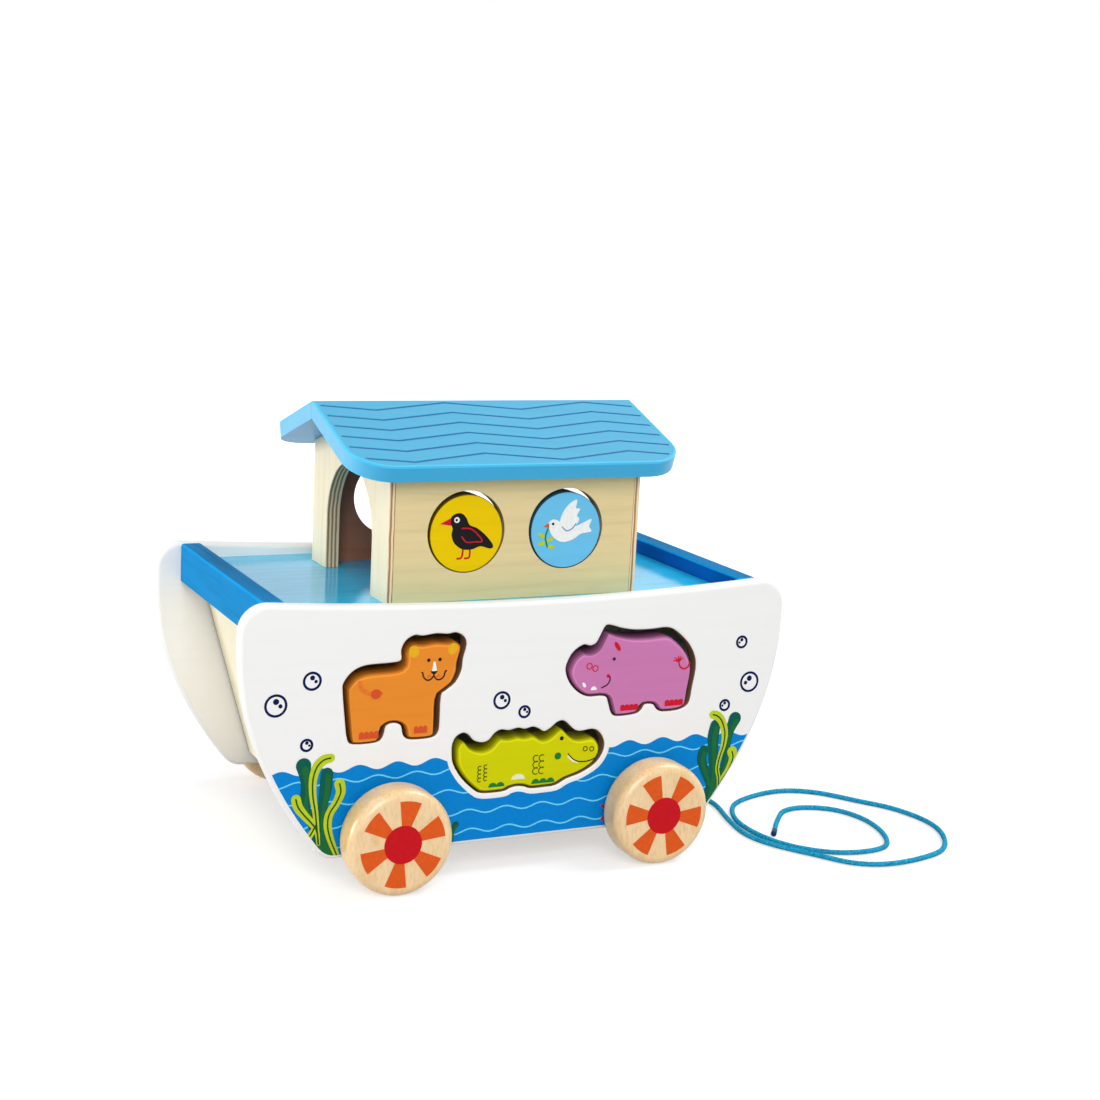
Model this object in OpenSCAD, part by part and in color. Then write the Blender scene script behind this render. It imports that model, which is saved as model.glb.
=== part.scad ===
// Pull-along wooden ark: a hull of flat boards on four wheels, with a cabin and a grooved roof.
// One side of the hull is a shape sorter for three animals, the other has a ramp door and portholes.
// Millimetres. +Z is up, +X points to the bow, -Y is the sorter side and +Y is the door side.
// The origin is on the floor, under the middle of the hull.

/* [Hull] */
// Longest length of the side panels
hull_len = 302; // [285:1:340]
// Width over the outer faces of the side panels
hull_w = 168; // [150:1:200]
// Thickness of the side panels
panel_t = 9; // [8:0.5:12]
// How far each end of the bottom edge is drawn in from the longest length
side_rake = 44; // [34:1:48]
// Length of the rounding where the keel runs into the panel's ends
keel_round = 6; // [2:0.5:10]
// Height of the straight stretch at the panels' ends, below the top corners
side_flat = 8; // [0:1:12]
// Radius of the panels' top corners
corner_r = 14; // [8:1:20]
// Dip of the panels' top edge at the middle
sheer_sag = 5; // [0:0.5:6]

/* [Wheels] */
// Diameter of a wheel
wheel_d = 55; // [44:1:58]
// Thickness of a wheel
wheel_t = 19; // [14:1:24]
// Rounding of a wheel's rim
wheel_round = 5; // [1:0.5:6]
// Gap between a wheel and its side panel
wheel_gap = 1.4; // [1:0.1:5]
// Distance of an axle from the end of the panels' bottom edge
axle_inset = 34; // [28:1:40]
// Height of the axles above the panels' bottom edge
axle_up = 11.5; // [9:0.5:15]
// Diameter of an axle
axle_d = 8; // [6:0.5:10]
// Radial running clearance of an axle in the side panels
axle_play = 0.08; // [0.02:0.01:0.1]
// Wood left between the end of an axle and the outer face of its wheel
axle_cover = 6; // [3:0.5:9]

/* [Hold] */
// Space between the axles and the floor board
axle_clear = 1.5; // [1:0.5:4]
// Thickness of the floor board
floor_t = 9; // [7:0.5:12]
// Height inside the hold
hold_h = 86.5; // [84:0.5:105]
// Thickness of the leaning end boards
end_t = 9; // [7:0.5:12]
// Lean of the end boards, in degrees
end_lean = 15.8; // [12:0.1:18]
// Height of the end boards' lower edge above the panels' bottom edge
end_up = 8; // [3:0.5:14]

/* [Deck] */
// Thickness of the deck board
deck_t = 9; // [8:0.5:12]
// Height of the panels' top corners above the deck
bulwark_h = 9; // [6:0.5:14]
// Thickness of the deck rails
rail_t = 11.3; // [9:0.1:18]
// Height of the deck rails
rail_h = 21.5; // [16:0.5:26]
// Distance of the rails' outer faces from the ends of the side panels
rail_inset = 13; // [6:0.5:14]
// How far the rails' tops lie below the panels' top corners
rail_drop = 0.5; // [0:0.5:4]

/* [Cabin] */
// Length of the cabin
cabin_len = 141; // [130:1:165]
// Width of the cabin
cabin_w = 116; // [108:1:126]
// Distance of the cabin's middle from the hull's middle, towards the bow
cabin_x = 2; // [-10:0.5:10]
// Thickness of the cabin walls
wall_t = 7.5; // [6:0.5:9]
// Thickness of the lip that an end wall leaves over the end of a long wall
lip_t = 3.3; // [2:0.1:4.5]
// Width of the arch in an end wall
arch_w = 70; // [50:1:76]
// Height of the arch's straight sides
arch_side = 28; // [15:1:34]
// Diameter of the round windows
window_d = 42.5; // [34:0.5:48]
// Distance between the middles of the two windows of a wall
window_pitch = 56.2; // [52:0.2:64]
// Height of the windows' middle above the deck
window_up = 35.8; // [32:0.2:39]

/* [Roof] */
// Height of the ridge above the deck
ridge_up = 95.8; // [92:0.2:115]
// Slope of the roof, in degrees
roof_slope = 18.4; // [12:0.1:20]
// Length of the roof along its ridge
roof_len = 185; // [160:1:210]
// Length of a roof board down its slope
roof_run = 75; // [70:1:84]
// Thickness of the roof boards
roof_t = 9; // [6:0.5:12]
// Radius of the roof's corners at the eaves
eave_r = 22; // [8:1:30]
// Number of zig-zag grooves in each roof board
groove_n = 6; // [1:1:6]
// Distance from one groove to the next, down the slope
groove_pitch = 11.8; // [9:0.1:13]
// Distance of the first groove's crests from the ridge
groove_first = 2; // [1:0.5:6]
// Width of a groove
groove_w = 1.6; // [0.8:0.1:3]
// Depth of a groove
groove_depth = 0.8; // [0.4:0.1:2]
// Least distance of the grooves from the ends and the eave
groove_edge = 3; // [2:0.5:6]
// Length of one zig or zag along the roof
zig_len = 41; // [25:1:50]
// Rise of one zig or zag up the slope
zig_rise = 8.5; // [3:0.5:10]
// Distance of one crest from the roof's middle, towards the bow
zig_shift = -20; // [-40:1:40]

/* [Door] */
// Width of the door opening
door_w = 66; // [54:1:74]
// Height of the panel between the door opening and the underside of the deck
door_head = 4; // [2:0.5:10]
// Gap around the closed door
door_gap = 0.6; // [0.4:0.1:1]
// Radius of the door's upper corners
door_corner_r = 5; // [1:0.5:10]
// Diameter of the hinge pins
pin_d = 4; // [3:0.5:5]
// Length of a hinge pin in the door, and again in the side panel
pin_reach = 8; // [5:0.5:12]
// Radial running clearance of the door on its hinge pins
pin_play = 0.08; // [0.02:0.01:0.1]
// Diameter of the catch magnets
magnet_d = 5; // [4:0.5:6]
// Thickness of the catch magnets
magnet_t = 3; // [2:0.5:5]
// Diameter of the portholes
porthole_d = 24; // [18:1:30]
// Distance of the portholes from the hull's middle
porthole_x = 88; // [70:1:92]
// Height of the portholes above the hold's floor
porthole_up = 63; // [50:1:66]

/* [Loose pieces] */
// Thickness of the sorter animals
animal_t = 17; // [12:1:22]
// Gap between an animal and its hole, all round when it is centred
animal_gap = 2.4; // [1:0.1:3]
// Distance of the bear's middle from the stern end of the side panel
bear_inset = 84; // [80:1:90]
// Distance of the hippopotamus's middle from the bow end of the side panel
hippo_inset = 91; // [84:1:94]
// Distance of the crocodile's middle from the hull's middle, towards the bow
croc_x = 3; // [-2:0.5:4]
// Radial gap between a picture disc and its window
disc_gap = 1.15; // [0.5:0.05:2]
// Thickness of the picture discs
disc_t = 12; // [8:0.5:16]
// Gap left under a loose piece that rests in its hole
seat_gap = 0.3; // [0.2:0.05:0.5]

/* [Dowels] */
// Diameter of the hull's dowels
hull_dowel_d = 5; // [4:0.5:6]
// Depth of a dowel in a side panel
hull_dowel_in = 6; // [4:0.5:7]
// Length of a dowel in the board that it holds
hull_dowel_out = 12; // [8:1:20]
// Distance of the deck's dowels from the ends of the deck board
deck_dowel_inset = 30; // [15:1:60]
// Distance of the floor board's dowels from the sides of the door opening
floor_dowel_gap = 20; // [12:1:25]
// Height of the end boards' dowels above the hold's floor
end_dowel_up = 35; // [15:1:50]
// Diameter of the cabin's dowels
cabin_dowel_d = 4; // [3:0.5:5]
// Depth of a dowel in the deck
cabin_dowel_in = 5; // [3:0.5:6]
// Length of a dowel in a cabin wall
cabin_dowel_up = 9; // [6:0.5:11]
// Radial glue gap of dowels, magnets, hinge pins and axles in their seats
glue_gap = 0.03; // [0.01:0.01:0.1]

/* [Cord] */
// Diameter of the pull cord
cord_d = 3; // [2:0.1:3.2]
// Radial gap of the cord in its hole
cord_gap = 0.5; // [0.3:0.1:1.5]
// Height of the cord's hole above the hold's floor
cord_up = 30; // [29:0.5:31]
// Diameter of the knot behind the bow end board
knot_d = 9; // [8:0.5:14]
// Diameter of the sealed tip
tip_d = 3.2; // [3:0.1:3.2]
// Length of the sealed tip
tip_len = 5; // [3:0.5:10]

/* [Hidden] */
$fn = 96;
// Overrun of a cutting shape past the face that it cuts
over = 1;
// Straight stretches along a panel's end, its top corner and its top edge
side_steps = 20;
corner_steps = 8;
sheer_steps = 20;
// Straight stretches between two points of a sorter outline, and between two points of the cord
outline_steps = 3;
cord_steps = 2;
cord_sides = 8;
// Zigs on each side of the roof's middle, enough to pass both ends
zig_n = 6;

wheel_r = wheel_d / 2;
keel_z = wheel_r - axle_up;
axle_x = hull_len / 2 - side_rake - axle_inset;
axle_depth = wheel_t - axle_cover;
floor_z = wheel_r + axle_d / 2 + axle_clear + floor_t;
deck_low = floor_z + hold_h;
deck_z = deck_low + deck_t;
sheer_z = deck_z + bulwark_h;
sheer_x = hull_len / 2 - corner_r;
bulge_z = sheer_z - corner_r - side_flat;
side_y = hull_w / 2;
inner_y = side_y - panel_t;
rail_x = hull_len / 2 - rail_inset;
deck_x = rail_x - rail_t;
end_low = keel_z + end_up;
end_w = end_t / cos(end_lean);
end_dowel_z = floor_z + end_dowel_up;
cord_z = floor_z + cord_up;

wall_y = cabin_w / 2 - wall_t;
long_half = cabin_len / 2 - lip_t;
post_y = (arch_w / 2 + wall_y) / 2;
ridge_z = deck_z + ridge_up;
roof_low = ridge_z - roof_t / cos(roof_slope);

door_z = deck_low - door_head;
door_half = door_w / 2 - door_gap;
door_top = door_z - door_gap;
pin_y = side_y - panel_t / 2;
pin_z = floor_z + door_gap + panel_t / 2;

// Middles of the hull's dowels along the length and in height
hull_dowels = [
    for (s = [-1, 1]) each [
        [s * (deck_x - deck_dowel_inset), deck_z - deck_t / 2],
        [s * (door_w / 2 + floor_dowel_gap), floor_z - floor_t / 2],
        [s * (end_outer(end_dowel_z) - end_w / 2), end_dowel_z]
    ]
];

// Middles of the cabin's dowels on the deck
cabin_dowels = [
    for (s = [-1, 1], t = [-1, 1]) each [
        [cabin_x + s * window_pitch / 2, t * (wall_y + wall_t / 2)],
        [cabin_x + s * (cabin_len - wall_t) / 2, t * post_y]
    ]
];

// Outlines of the sorter's holes, from the animal's middle and the hold's floor
bear_hole = [
    [-32, 60], [-31.5, 64], [-28, 68.5], [-23.5, 71], [-18, 72], [-6, 72.3], [-2, 73.6], [-2.2, 78.5],
    [0, 83], [4.5, 85.5], [9, 84.9], [16, 85.7], [22, 85.1], [26.5, 85.6], [30.5, 83.5], [32.2, 79.5],
    [30.5, 72], [30, 66.5], [27, 60.3], [22, 56.5], [19.4, 53.5], [19.2, 40], [18.5, 35], [15, 32.6],
    [4, 32.6], [0.3, 35], [-1, 40], [-5, 41.8], [-9.3, 40.5], [-10.7, 35.5], [-14, 32.6], [-26, 32.6],
    [-29, 35.5], [-30.5, 46]
];
hippo_hole = [
    [-38.3, 62], [-37.5, 66.5], [-34.5, 71.5], [-29, 75], [-25, 74.2], [-21.5, 75.6], [-19, 80],
    [-16.5, 84.4], [-13, 84.4], [-8, 82.8], [0, 81.3], [10, 81], [19, 81.5], [25, 79.5], [33, 72.5],
    [37.5, 65], [38.5, 58], [37, 48], [36, 41], [34, 38], [29, 36.2], [20, 36], [16.5, 37.5], [14, 40.4],
    [9, 40.7], [7, 38], [3.5, 36], [-7, 35.6], [-10.5, 37.5], [-12.5, 43], [-14, 46.4], [-18, 47.4],
    [-25, 47.5], [-31, 50.5], [-36, 56]
];
croc_hole = [
    [-43, 24], [-42.8, 28], [-41, 31.5], [-37.5, 33.2], [-34.5, 32], [-31.5, 28.8], [-27, 27.3],
    [-23, 28.2], [-20, 31.5], [-16.5, 33.2], [-12, 32.5], [-7, 33.4], [-3, 32.5], [1.5, 33.3], [5, 32],
    [8, 30.3], [11.5, 31.8], [15.5, 34.8], [19.5, 35], [24.5, 30.5], [28.5, 28.8], [35.5, 29.4],
    [39.5, 27.8], [42.3, 24], [43.2, 20], [42, 15.5], [38, 10.5], [30, 6.3], [22, 4], [16, 1.1], [9, 0.7],
    [2, 0.7], [-2, 2], [-6, 2.6], [-10, 2], [-13, 0.7], [-20, 0.4], [-26, 0.8], [-30, 2.8], [-37, 9.5],
    [-42, 17.5]
];

// Route of the pull cord: out of the bow end board, down to the floor and round in a loose spiral
cord_route = [
    [100, 0, 75], [112, 0, 71.6], [121, 0, 68], [129, -0.5, 59], [133.5, -0.6, 44.5], [137.5, -1.7, 25.5],
    [144, -5.4, 11], [150, -16, 2.4], [149.5, -32.5, 1.6], [143.5, -56.5, 1.6], [140.5, -78.5, 1.6],
    [145.5, -97.5, 1.6], [160.5, -120.5, 1.6], [172.5, -136.5, 1.6], [188.5, -143.5, 1.6],
    [210.5, -142.5, 1.6], [232.5, -134.5, 1.6], [247.5, -115.5, 1.6], [253.5, -93.5, 1.6],
    [248.5, -68.5, 1.6], [235.5, -48.5, 1.6], [220.5, -28.5, 1.6], [202.5, -19.5, 1.6],
    [180.5, -22.5, 1.6], [160.5, -33.5, 1.6], [148.5, -54.5, 1.6], [146.5, -78.5, 1.6],
    [153.5, -101.5, 1.6], [168.5, -117.5, 1.6], [187.5, -123.5, 1.6], [205.5, -119.5, 1.6],
    [216.5, -101.5, 1.6], [220, -78.5, 1.6], [213.5, -59.5, 1.6], [198.5, -50, 1.6], [183.5, -51.5, 1.6],
    [170.5, -64.5, 1.6], [157.5, -81.5, 1.6]
];

// Half the length of a side panel at height z, up to its longest place
function half_len(z) = hull_len / 2 - side_rake * pow((bulge_z - z) / (bulge_z - keel_z), 2);

// Distance of an end board's outer face from the hull's middle at height z
function end_outer(z) = deck_x - (deck_low - z) * tan(end_lean);

// Underside of the roof at a distance y from the ridge
function roof_under(y) = roof_low - abs(y) * tan(roof_slope);

function arc(middle, r, from, to, n) = [
    for (i = [0:n])
        let (a = from + (to - from) * i / n)
        middle + r * [cos(a), sin(a)]
];

// A door of half width w from low to high, with its upper corners rounded
function door_outline(w, low, high, r) = concat(
    [[-w, low], [w, low]],
    arc([w - r, high - r], r, 0, 90, corner_steps),
    arc([r - w, high - r], r, 90, 180, corner_steps)
);

function mirrored(points) = [for (i = [len(points) - 1:-1:0]) [-points[i][0], points[i][1]]];

// Smooth curve through four points, between the middle two
function blend(a, b, c, d, t) =
    b + (c - a) * t / 2 + (2 * a - 5 * b + 4 * c - d) * t * t / 2 + (3 * b - a - 3 * c + d) * t * t * t / 2;

function closed_curve(points, n) =
    let (k = len(points))
    [
        for (i = [0:k - 1], j = [0:n - 1])
            blend(points[(i + k - 1) % k], points[i], points[(i + 1) % k], points[(i + 2) % k], j / n)
    ];

function open_curve(points, n) =
    let (k = len(points) - 1)
    concat(
        [
            for (i = [0:k - 1], j = [0:n - 1])
                blend(points[max(i - 1, 0)], points[i], points[i + 1], points[min(i + 2, k)], j / n)
        ],
        [points[k]]
    );

function unit(v) = v / norm(v);

// Rounding from the keel into the curved end of a side panel
function keel_corner() =
    let (corner = [half_len(keel_z), keel_z], end_z = keel_z + keel_round)
    [
        for (i = [0:corner_steps - 1])
            let (t = i / corner_steps)
            pow(1 - t, 2) * (corner - [keel_round, 0]) + 2 * t * (1 - t) * corner
                + pow(t, 2) * [half_len(end_z), end_z]
    ];

// Bow half of a side panel's outline: the rounded keel, the curved end and the top corner
function panel_end() = concat(
    keel_corner(),
    [
        for (i = [0:side_steps])
            let (z = keel_z + keel_round + (bulge_z - keel_z - keel_round) * i / side_steps)
            [half_len(z), z]
    ],
    arc([sheer_x, sheer_z - corner_r], corner_r, 0, 90, corner_steps)
);

function panel_top() = [
    for (i = [1:sheer_steps - 1])
        let (x = sheer_x * (1 - 2 * i / sheer_steps))
        [x, sheer_z - sheer_sag * (1 - pow(x / sheer_x, 2))]
];

function panel_outline() = concat(panel_end(), panel_top(), mirrored(panel_end()));

// A roof board seen square to its slope, drawn in by e from its ends and its eave
function roof_corner(e) = arc(
    [roof_len / 2 - eave_r, eave_r - roof_run], eave_r - e, 0, -90, corner_steps
);

function roof_outline(e) = concat(
    [[roof_len / 2 - e, 0]], roof_corner(e), mirrored(roof_corner(e)), [[e - roof_len / 2, 0]]
);

// Stands an outline up in the length and height plane, from y to y + t
module upright(y, t) {
    translate([0, y + t, 0]) rotate([90, 0, 0]) linear_extrude(t) children();
}

// Runs an outline of width and height along the length, from x to x + t
module lengthwise(x, t) {
    translate([x, 0, 0]) rotate([90, 0, 90]) linear_extrude(t) children();
}

module rod_y(x, y, z, d, t) {
    translate([x, y, z]) rotate([-90, 0, 0]) cylinder(d = d, h = t);
}

module rod_x(x, y, z, d, t) {
    translate([x, y, z]) rotate([0, 90, 0]) cylinder(d = d, h = t);
}

module rod_z(x, y, z, d, t) {
    translate([x, y, z]) cylinder(d = d, h = t);
}

module hull_dowel_rods(d) {
    for (p = hull_dowels) {
        rod_y(p[0], inner_y - hull_dowel_out, p[1], d, hull_dowel_out + hull_dowel_in);
        rod_y(p[0], -inner_y - hull_dowel_in, p[1], d, hull_dowel_out + hull_dowel_in);
    }
}

module hull_dowel_holes() {
    hull_dowel_rods(hull_dowel_d + 2 * glue_gap);
}

module cabin_dowel_rods(d) {
    for (p = cabin_dowels)
        rod_z(p[0], p[1], deck_z - cabin_dowel_in, d, cabin_dowel_in + cabin_dowel_up);
}

module cabin_dowel_holes() {
    cabin_dowel_rods(cabin_dowel_d + 2 * glue_gap);
}

// A side panel with its outer or inner face at y, bored for the axles and the dowels
module panel_blank(y) {
    difference() {
        upright(y, panel_t) polygon(panel_outline());
        for (s = [-1, 1])
            rod_y(s * axle_x, y - over, wheel_r, axle_d + 2 * axle_play, panel_t + 2 * over);
        hull_dowel_holes();
    }
}

module sorter_hole(x, points) {
    upright(-side_y - over, panel_t + 2 * over)
        translate([x, floor_z]) polygon(closed_curve(points, outline_steps));
}

bear_x = bear_inset - hull_len / 2;
hippo_x = hull_len / 2 - hippo_inset;

module side_panel_sorter() {
    color("white") difference() {
        panel_blank(-side_y);
        sorter_hole(bear_x, bear_hole);
        sorter_hole(hippo_x, hippo_hole);
        sorter_hole(croc_x, croc_hole);
    }
}

module side_panel_door() {
    color("white") difference() {
        panel_blank(inner_y);
        upright(inner_y - over, panel_t + 2 * over)
            polygon(door_outline(door_w / 2, floor_z, door_z, door_corner_r + door_gap));
        for (s = [-1, 1])
            rod_y(s * porthole_x, inner_y - over, floor_z + porthole_up, porthole_d, panel_t + 2 * over);
        rod_x(-door_w / 2 - pin_reach, pin_y, pin_z, pin_d + 2 * glue_gap, door_w + 2 * pin_reach);
        rod_z(0, pin_y, door_z - over, magnet_d + 2 * glue_gap, magnet_t + over);
    }
}

// A leaning board at the bow, with its ends against the side panels
module end_board() {
    difference() {
        upright(-inner_y, 2 * inner_y) polygon([
            [end_outer(end_low), end_low], [deck_x, deck_low],
            [deck_x - end_w, deck_low], [end_outer(end_low) - end_w, end_low]
        ]);
        hull_dowel_holes();
    }
}

// Puts a shape at the cord's hole, square to the bow end board, with its outer face at height 0
module at_cord_hole() {
    translate([end_outer(cord_z), 0, cord_z]) rotate([0, 90 + end_lean, 0]) children();
}

module end_board_stern() {
    color("cornsilk") mirror([1, 0, 0]) end_board();
}

module end_board_bow() {
    color("cornsilk") difference() {
        end_board();
        at_cord_hole() translate([0, 0, -end_t - over])
            cylinder(d = cord_d + 2 * cord_gap, h = end_t + 2 * over);
    }
}

module floor_board() {
    color("burlywood") difference() {
        upright(-inner_y, 2 * inner_y) polygon([
            for (s = [-1, 1], z = s < 0 ? [floor_z - floor_t, floor_z] : [floor_z, floor_z - floor_t])
                [s * (end_outer(z) - end_w), z]
        ]);
        hull_dowel_holes();
    }
}

module deck_board() {
    color("skyblue") difference() {
        translate([-deck_x, -inner_y, deck_low]) cube([2 * deck_x, 2 * inner_y, deck_t]);
        hull_dowel_holes();
        cabin_dowel_holes();
    }
}

module deck_rail() {
    translate([deck_x, -inner_y, sheer_z - rail_drop - rail_h]) cube([rail_t, 2 * inner_y, rail_h]);
}

module deck_rail_stern() {
    color("dodgerblue") mirror([1, 0, 0]) deck_rail();
}

module deck_rail_bow() {
    color("dodgerblue") deck_rail();
}

module hull_dowels() {
    color("tan") hull_dowel_rods(hull_dowel_d);
}

// A long wall of the cabin on the door side, with its top bevelled under the roof
module cabin_wall() {
    difference() {
        lengthwise(cabin_x - long_half, 2 * long_half) polygon([
            [wall_y, deck_z], [wall_y + wall_t, deck_z],
            [wall_y + wall_t, roof_under(wall_y + wall_t)], [wall_y, roof_under(wall_y)]
        ]);
        for (s = [-1, 1])
            rod_y(cabin_x + s * window_pitch / 2, wall_y - over, deck_z + window_up,
                window_d, wall_t + 2 * over);
        cabin_dowel_holes();
    }
}

module cabin_wall_sorter() {
    color("wheat") mirror([0, 1, 0]) cabin_wall();
}

module cabin_wall_door() {
    color("wheat") cabin_wall();
}

module arch() {
    translate([-arch_w / 2, deck_z - over]) square([arch_w, arch_side + over]);
    translate([0, deck_z + arch_side]) circle(d = arch_w);
}

// A gabled end wall of the cabin with its inner or outer face at x, rebated for the long walls
module cabin_end(x) {
    half = cabin_w / 2;
    difference() {
        lengthwise(x, wall_t) difference() {
            polygon([
                [-half, deck_z], [half, deck_z], [half, roof_under(half)],
                [0, roof_low], [-half, roof_under(half)]
            ]);
            arch();
        }
        for (s = [-1, 1])
            translate([cabin_x - long_half, s > 0 ? wall_y : -half - over, deck_z - over])
                cube([2 * long_half, wall_t + over, ridge_up]);
        cabin_dowel_holes();
    }
}

module cabin_end_stern() {
    color("wheat") cabin_end(cabin_x - cabin_len / 2);
}

module cabin_end_bow() {
    color("wheat") cabin_end(cabin_x + cabin_len / 2 - wall_t);
}

module cabin_dowels() {
    color("tan") cabin_dowel_rods(cabin_dowel_d);
}

// One zig-zag line down the slope, wide enough to pass both ends of the roof
module zig_zag(v) {
    crest = [for (i = [-zig_n:zig_n]) [zig_shift + i * zig_len, -v - zig_rise * abs(i % 2)]];
    polygon(concat(crest, [for (i = [2 * zig_n:-1:0]) crest[i] - [0, groove_w]]));
}

// A roof board on the sorter side, mitred at the ridge
module roof_board() {
    translate([cabin_x, 0, ridge_z]) difference() {
        rotate([roof_slope, 0, 0]) difference() {
            translate([0, 0, -roof_t]) linear_extrude(roof_t) polygon(roof_outline(0));
            translate([0, 0, -groove_depth]) linear_extrude(groove_depth + over)
                for (k = [0:groove_n - 1])
                    intersection() {
                        zig_zag(groove_first + k * groove_pitch);
                        polygon(roof_outline(groove_edge));
                    }
        }
        translate([-roof_len, 0, -roof_len]) cube(2 * roof_len);
    }
}

module roof_board_sorter() {
    color("deepskyblue") roof_board();
}

module roof_board_door() {
    color("deepskyblue") mirror([0, 1, 0]) roof_board();
}

// A wheel on the +Z axis: inner face at height 0, a blind seat for the axle and rounded rims
module wheel() {
    seat_r = axle_d / 2 + glue_gap;
    edge_r = wheel_r - wheel_round;
    rotate_extrude() polygon(concat(
        [[seat_r, 0]],
        arc([edge_r, wheel_round], wheel_round, -90, 0, corner_steps),
        arc([edge_r, wheel_t - wheel_round], wheel_round, 0, 90, corner_steps),
        [[0, wheel_t], [0, axle_depth], [seat_r, axle_depth]]
    ));
}

module wheel_sorter(x) {
    color("navajowhite") translate([x, -side_y - wheel_gap, wheel_r]) rotate([90, 0, 0]) wheel();
}

module wheel_door(x) {
    color("navajowhite") translate([x, side_y + wheel_gap, wheel_r]) rotate([-90, 0, 0]) wheel();
}

module axle(x) {
    half = side_y + wheel_gap + axle_depth;
    color("tan") rod_y(x, -half, wheel_r, axle_d, 2 * half);
}

module axle_stern() {
    axle(-axle_x);
}

module wheel_stern_sorter() {
    wheel_sorter(-axle_x);
}

module wheel_stern_door() {
    wheel_door(-axle_x);
}

module axle_bow() {
    axle(axle_x);
}

module wheel_bow_sorter() {
    wheel_sorter(axle_x);
}

module wheel_bow_door() {
    wheel_door(axle_x);
}

module ramp_door() {
    color("white") difference() {
        intersection() {
            lengthwise(-door_half - over, 2 * (door_half + over)) union() {
                translate([pin_y, pin_z]) circle(d = panel_t);
                translate([inner_y, pin_z]) square([panel_t, door_top - pin_z + over]);
            }
            upright(inner_y - over, panel_t + 2 * over)
                polygon(door_outline(door_half, floor_z, door_top, door_corner_r));
        }
        for (s = [-1, 1])
            rod_x(s > 0 ? door_half - pin_reach : -door_half - over, pin_y, pin_z,
                pin_d + 2 * pin_play, pin_reach + over);
        rod_z(0, pin_y, door_top - magnet_t, magnet_d + 2 * glue_gap, magnet_t + over);
    }
}

module door_hinge_pins() {
    length = 2 * pin_reach + door_gap;
    color("silver") for (s = [-1, 1])
        rod_x(s > 0 ? door_half - pin_reach : -door_w / 2 - pin_reach, pin_y, pin_z, pin_d, length);
}

module door_magnet() {
    color("dimgray") rod_z(0, pin_y, door_top - magnet_t, magnet_d, magnet_t);
}

module frame_magnet() {
    color("dimgray") rod_z(0, pin_y, door_z, magnet_d, magnet_t);
}

// A sorter animal that has dropped to the bottom of its hole, flush with the side panel
module animal(x, points) {
    upright(-side_y, animal_t) translate([x, floor_z + seat_gap - animal_gap])
        offset(delta = -animal_gap) polygon(closed_curve(points, outline_steps));
}

module bear() {
    color("darkorange") animal(bear_x, bear_hole);
}

module hippopotamus() {
    color("orchid") animal(hippo_x, hippo_hole);
}

module crocodile() {
    color("yellowgreen") animal(croc_x, croc_hole);
}

// A picture disc that has dropped to the bottom of its window, flush with the cabin wall
module disc(x) {
    rod_y(x, -cabin_w / 2, deck_z + window_up - disc_gap + seat_gap, window_d - 2 * disc_gap, disc_t);
}

module raven_disc() {
    color("gold") disc(cabin_x - window_pitch / 2);
}

module dove_disc() {
    color("skyblue") disc(cabin_x + window_pitch / 2);
}

// Points of a ring round the cord's line, square to its direction there
function cord_ring(line, i) =
    let (
        ahead = unit(line[min(i + 1, len(line) - 1)] - line[max(i - 1, 0)]),
        side = unit(cross(ahead, [0, 0, 1])),
        up = cross(side, ahead)
    )
    [
        for (j = [0:cord_sides - 1])
            let (a = 360 * (j + 0.5) / cord_sides)
            line[i] + cord_d / 2 * (cos(a) * side + sin(a) * up)
    ];

// Two triangles between neighbouring corners of ring i and the ring after it
function cord_faces(i, j) =
    let (
        a = i * cord_sides + j,
        b = i * cord_sides + (j + 1) % cord_sides
    )
    [[a, b + cord_sides, b], [a, a + cord_sides, b + cord_sides]];

module pull_cord() {
    line = open_curve(cord_route, cord_steps);
    last = len(line) - 1;
    points = [for (i = [0:last]) each cord_ring(line, i)];
    walls = [for (i = [0:last - 1], j = [0:cord_sides - 1]) each cord_faces(i, j)];
    first_cap = [for (j = [1:cord_sides - 2]) [0, j, j + 1]];
    last_cap = [for (face = first_cap) [for (k = [0, 2, 1]) face[k] + last * cord_sides]];
    color("dodgerblue") polyhedron(points, concat(walls, first_cap, last_cap), convexity = 10);
}

// Two turns of cord round a core, drawn up against the inner face of the bow end board
module cord_knot() {
    turn_r = (knot_d - cord_d) / 2;
    color("dodgerblue") at_cord_hole() translate([0, 0, -end_t]) rotate_extrude() {
        for (k = [1, 3])
            translate([turn_r, -k * cord_d / 2]) circle(d = cord_d);
        translate([0, -1.5 * cord_d]) square([turn_r, cord_d]);
    }
}

// A short sleeve over the last of the cord, with a rounded end
module cord_tip() {
    last = cord_route[len(cord_route) - 1];
    ahead = unit(last - cord_route[len(cord_route) - 2]);
    color("midnightblue") translate([last[0], last[1], tip_d / 2])
        rotate([0, 90, atan2(ahead[1], ahead[0])]) translate([0, 0, -tip_len / 2]) {
            cylinder(d = tip_d, h = tip_len);
            translate([0, 0, tip_len]) sphere(d = tip_d);
        }
}

side_panel_sorter();
side_panel_door();
end_board_stern();
end_board_bow();
floor_board();
deck_board();
deck_rail_stern();
deck_rail_bow();
hull_dowels();
cabin_wall_sorter();
cabin_wall_door();
cabin_end_stern();
cabin_end_bow();
cabin_dowels();
roof_board_sorter();
roof_board_door();
axle_stern();
wheel_stern_sorter();
wheel_stern_door();
axle_bow();
wheel_bow_sorter();
wheel_bow_door();
ramp_door();
door_hinge_pins();
door_magnet();
frame_magnet();
bear();
hippopotamus();
crocodile();
raven_disc();
dove_disc();
pull_cord();
cord_knot();
cord_tip();
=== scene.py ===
"""Pull-along wooden ark: paint, wood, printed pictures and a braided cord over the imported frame."""

from collections import namedtuple
from math import atan2, cos, pi, radians, sin

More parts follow.
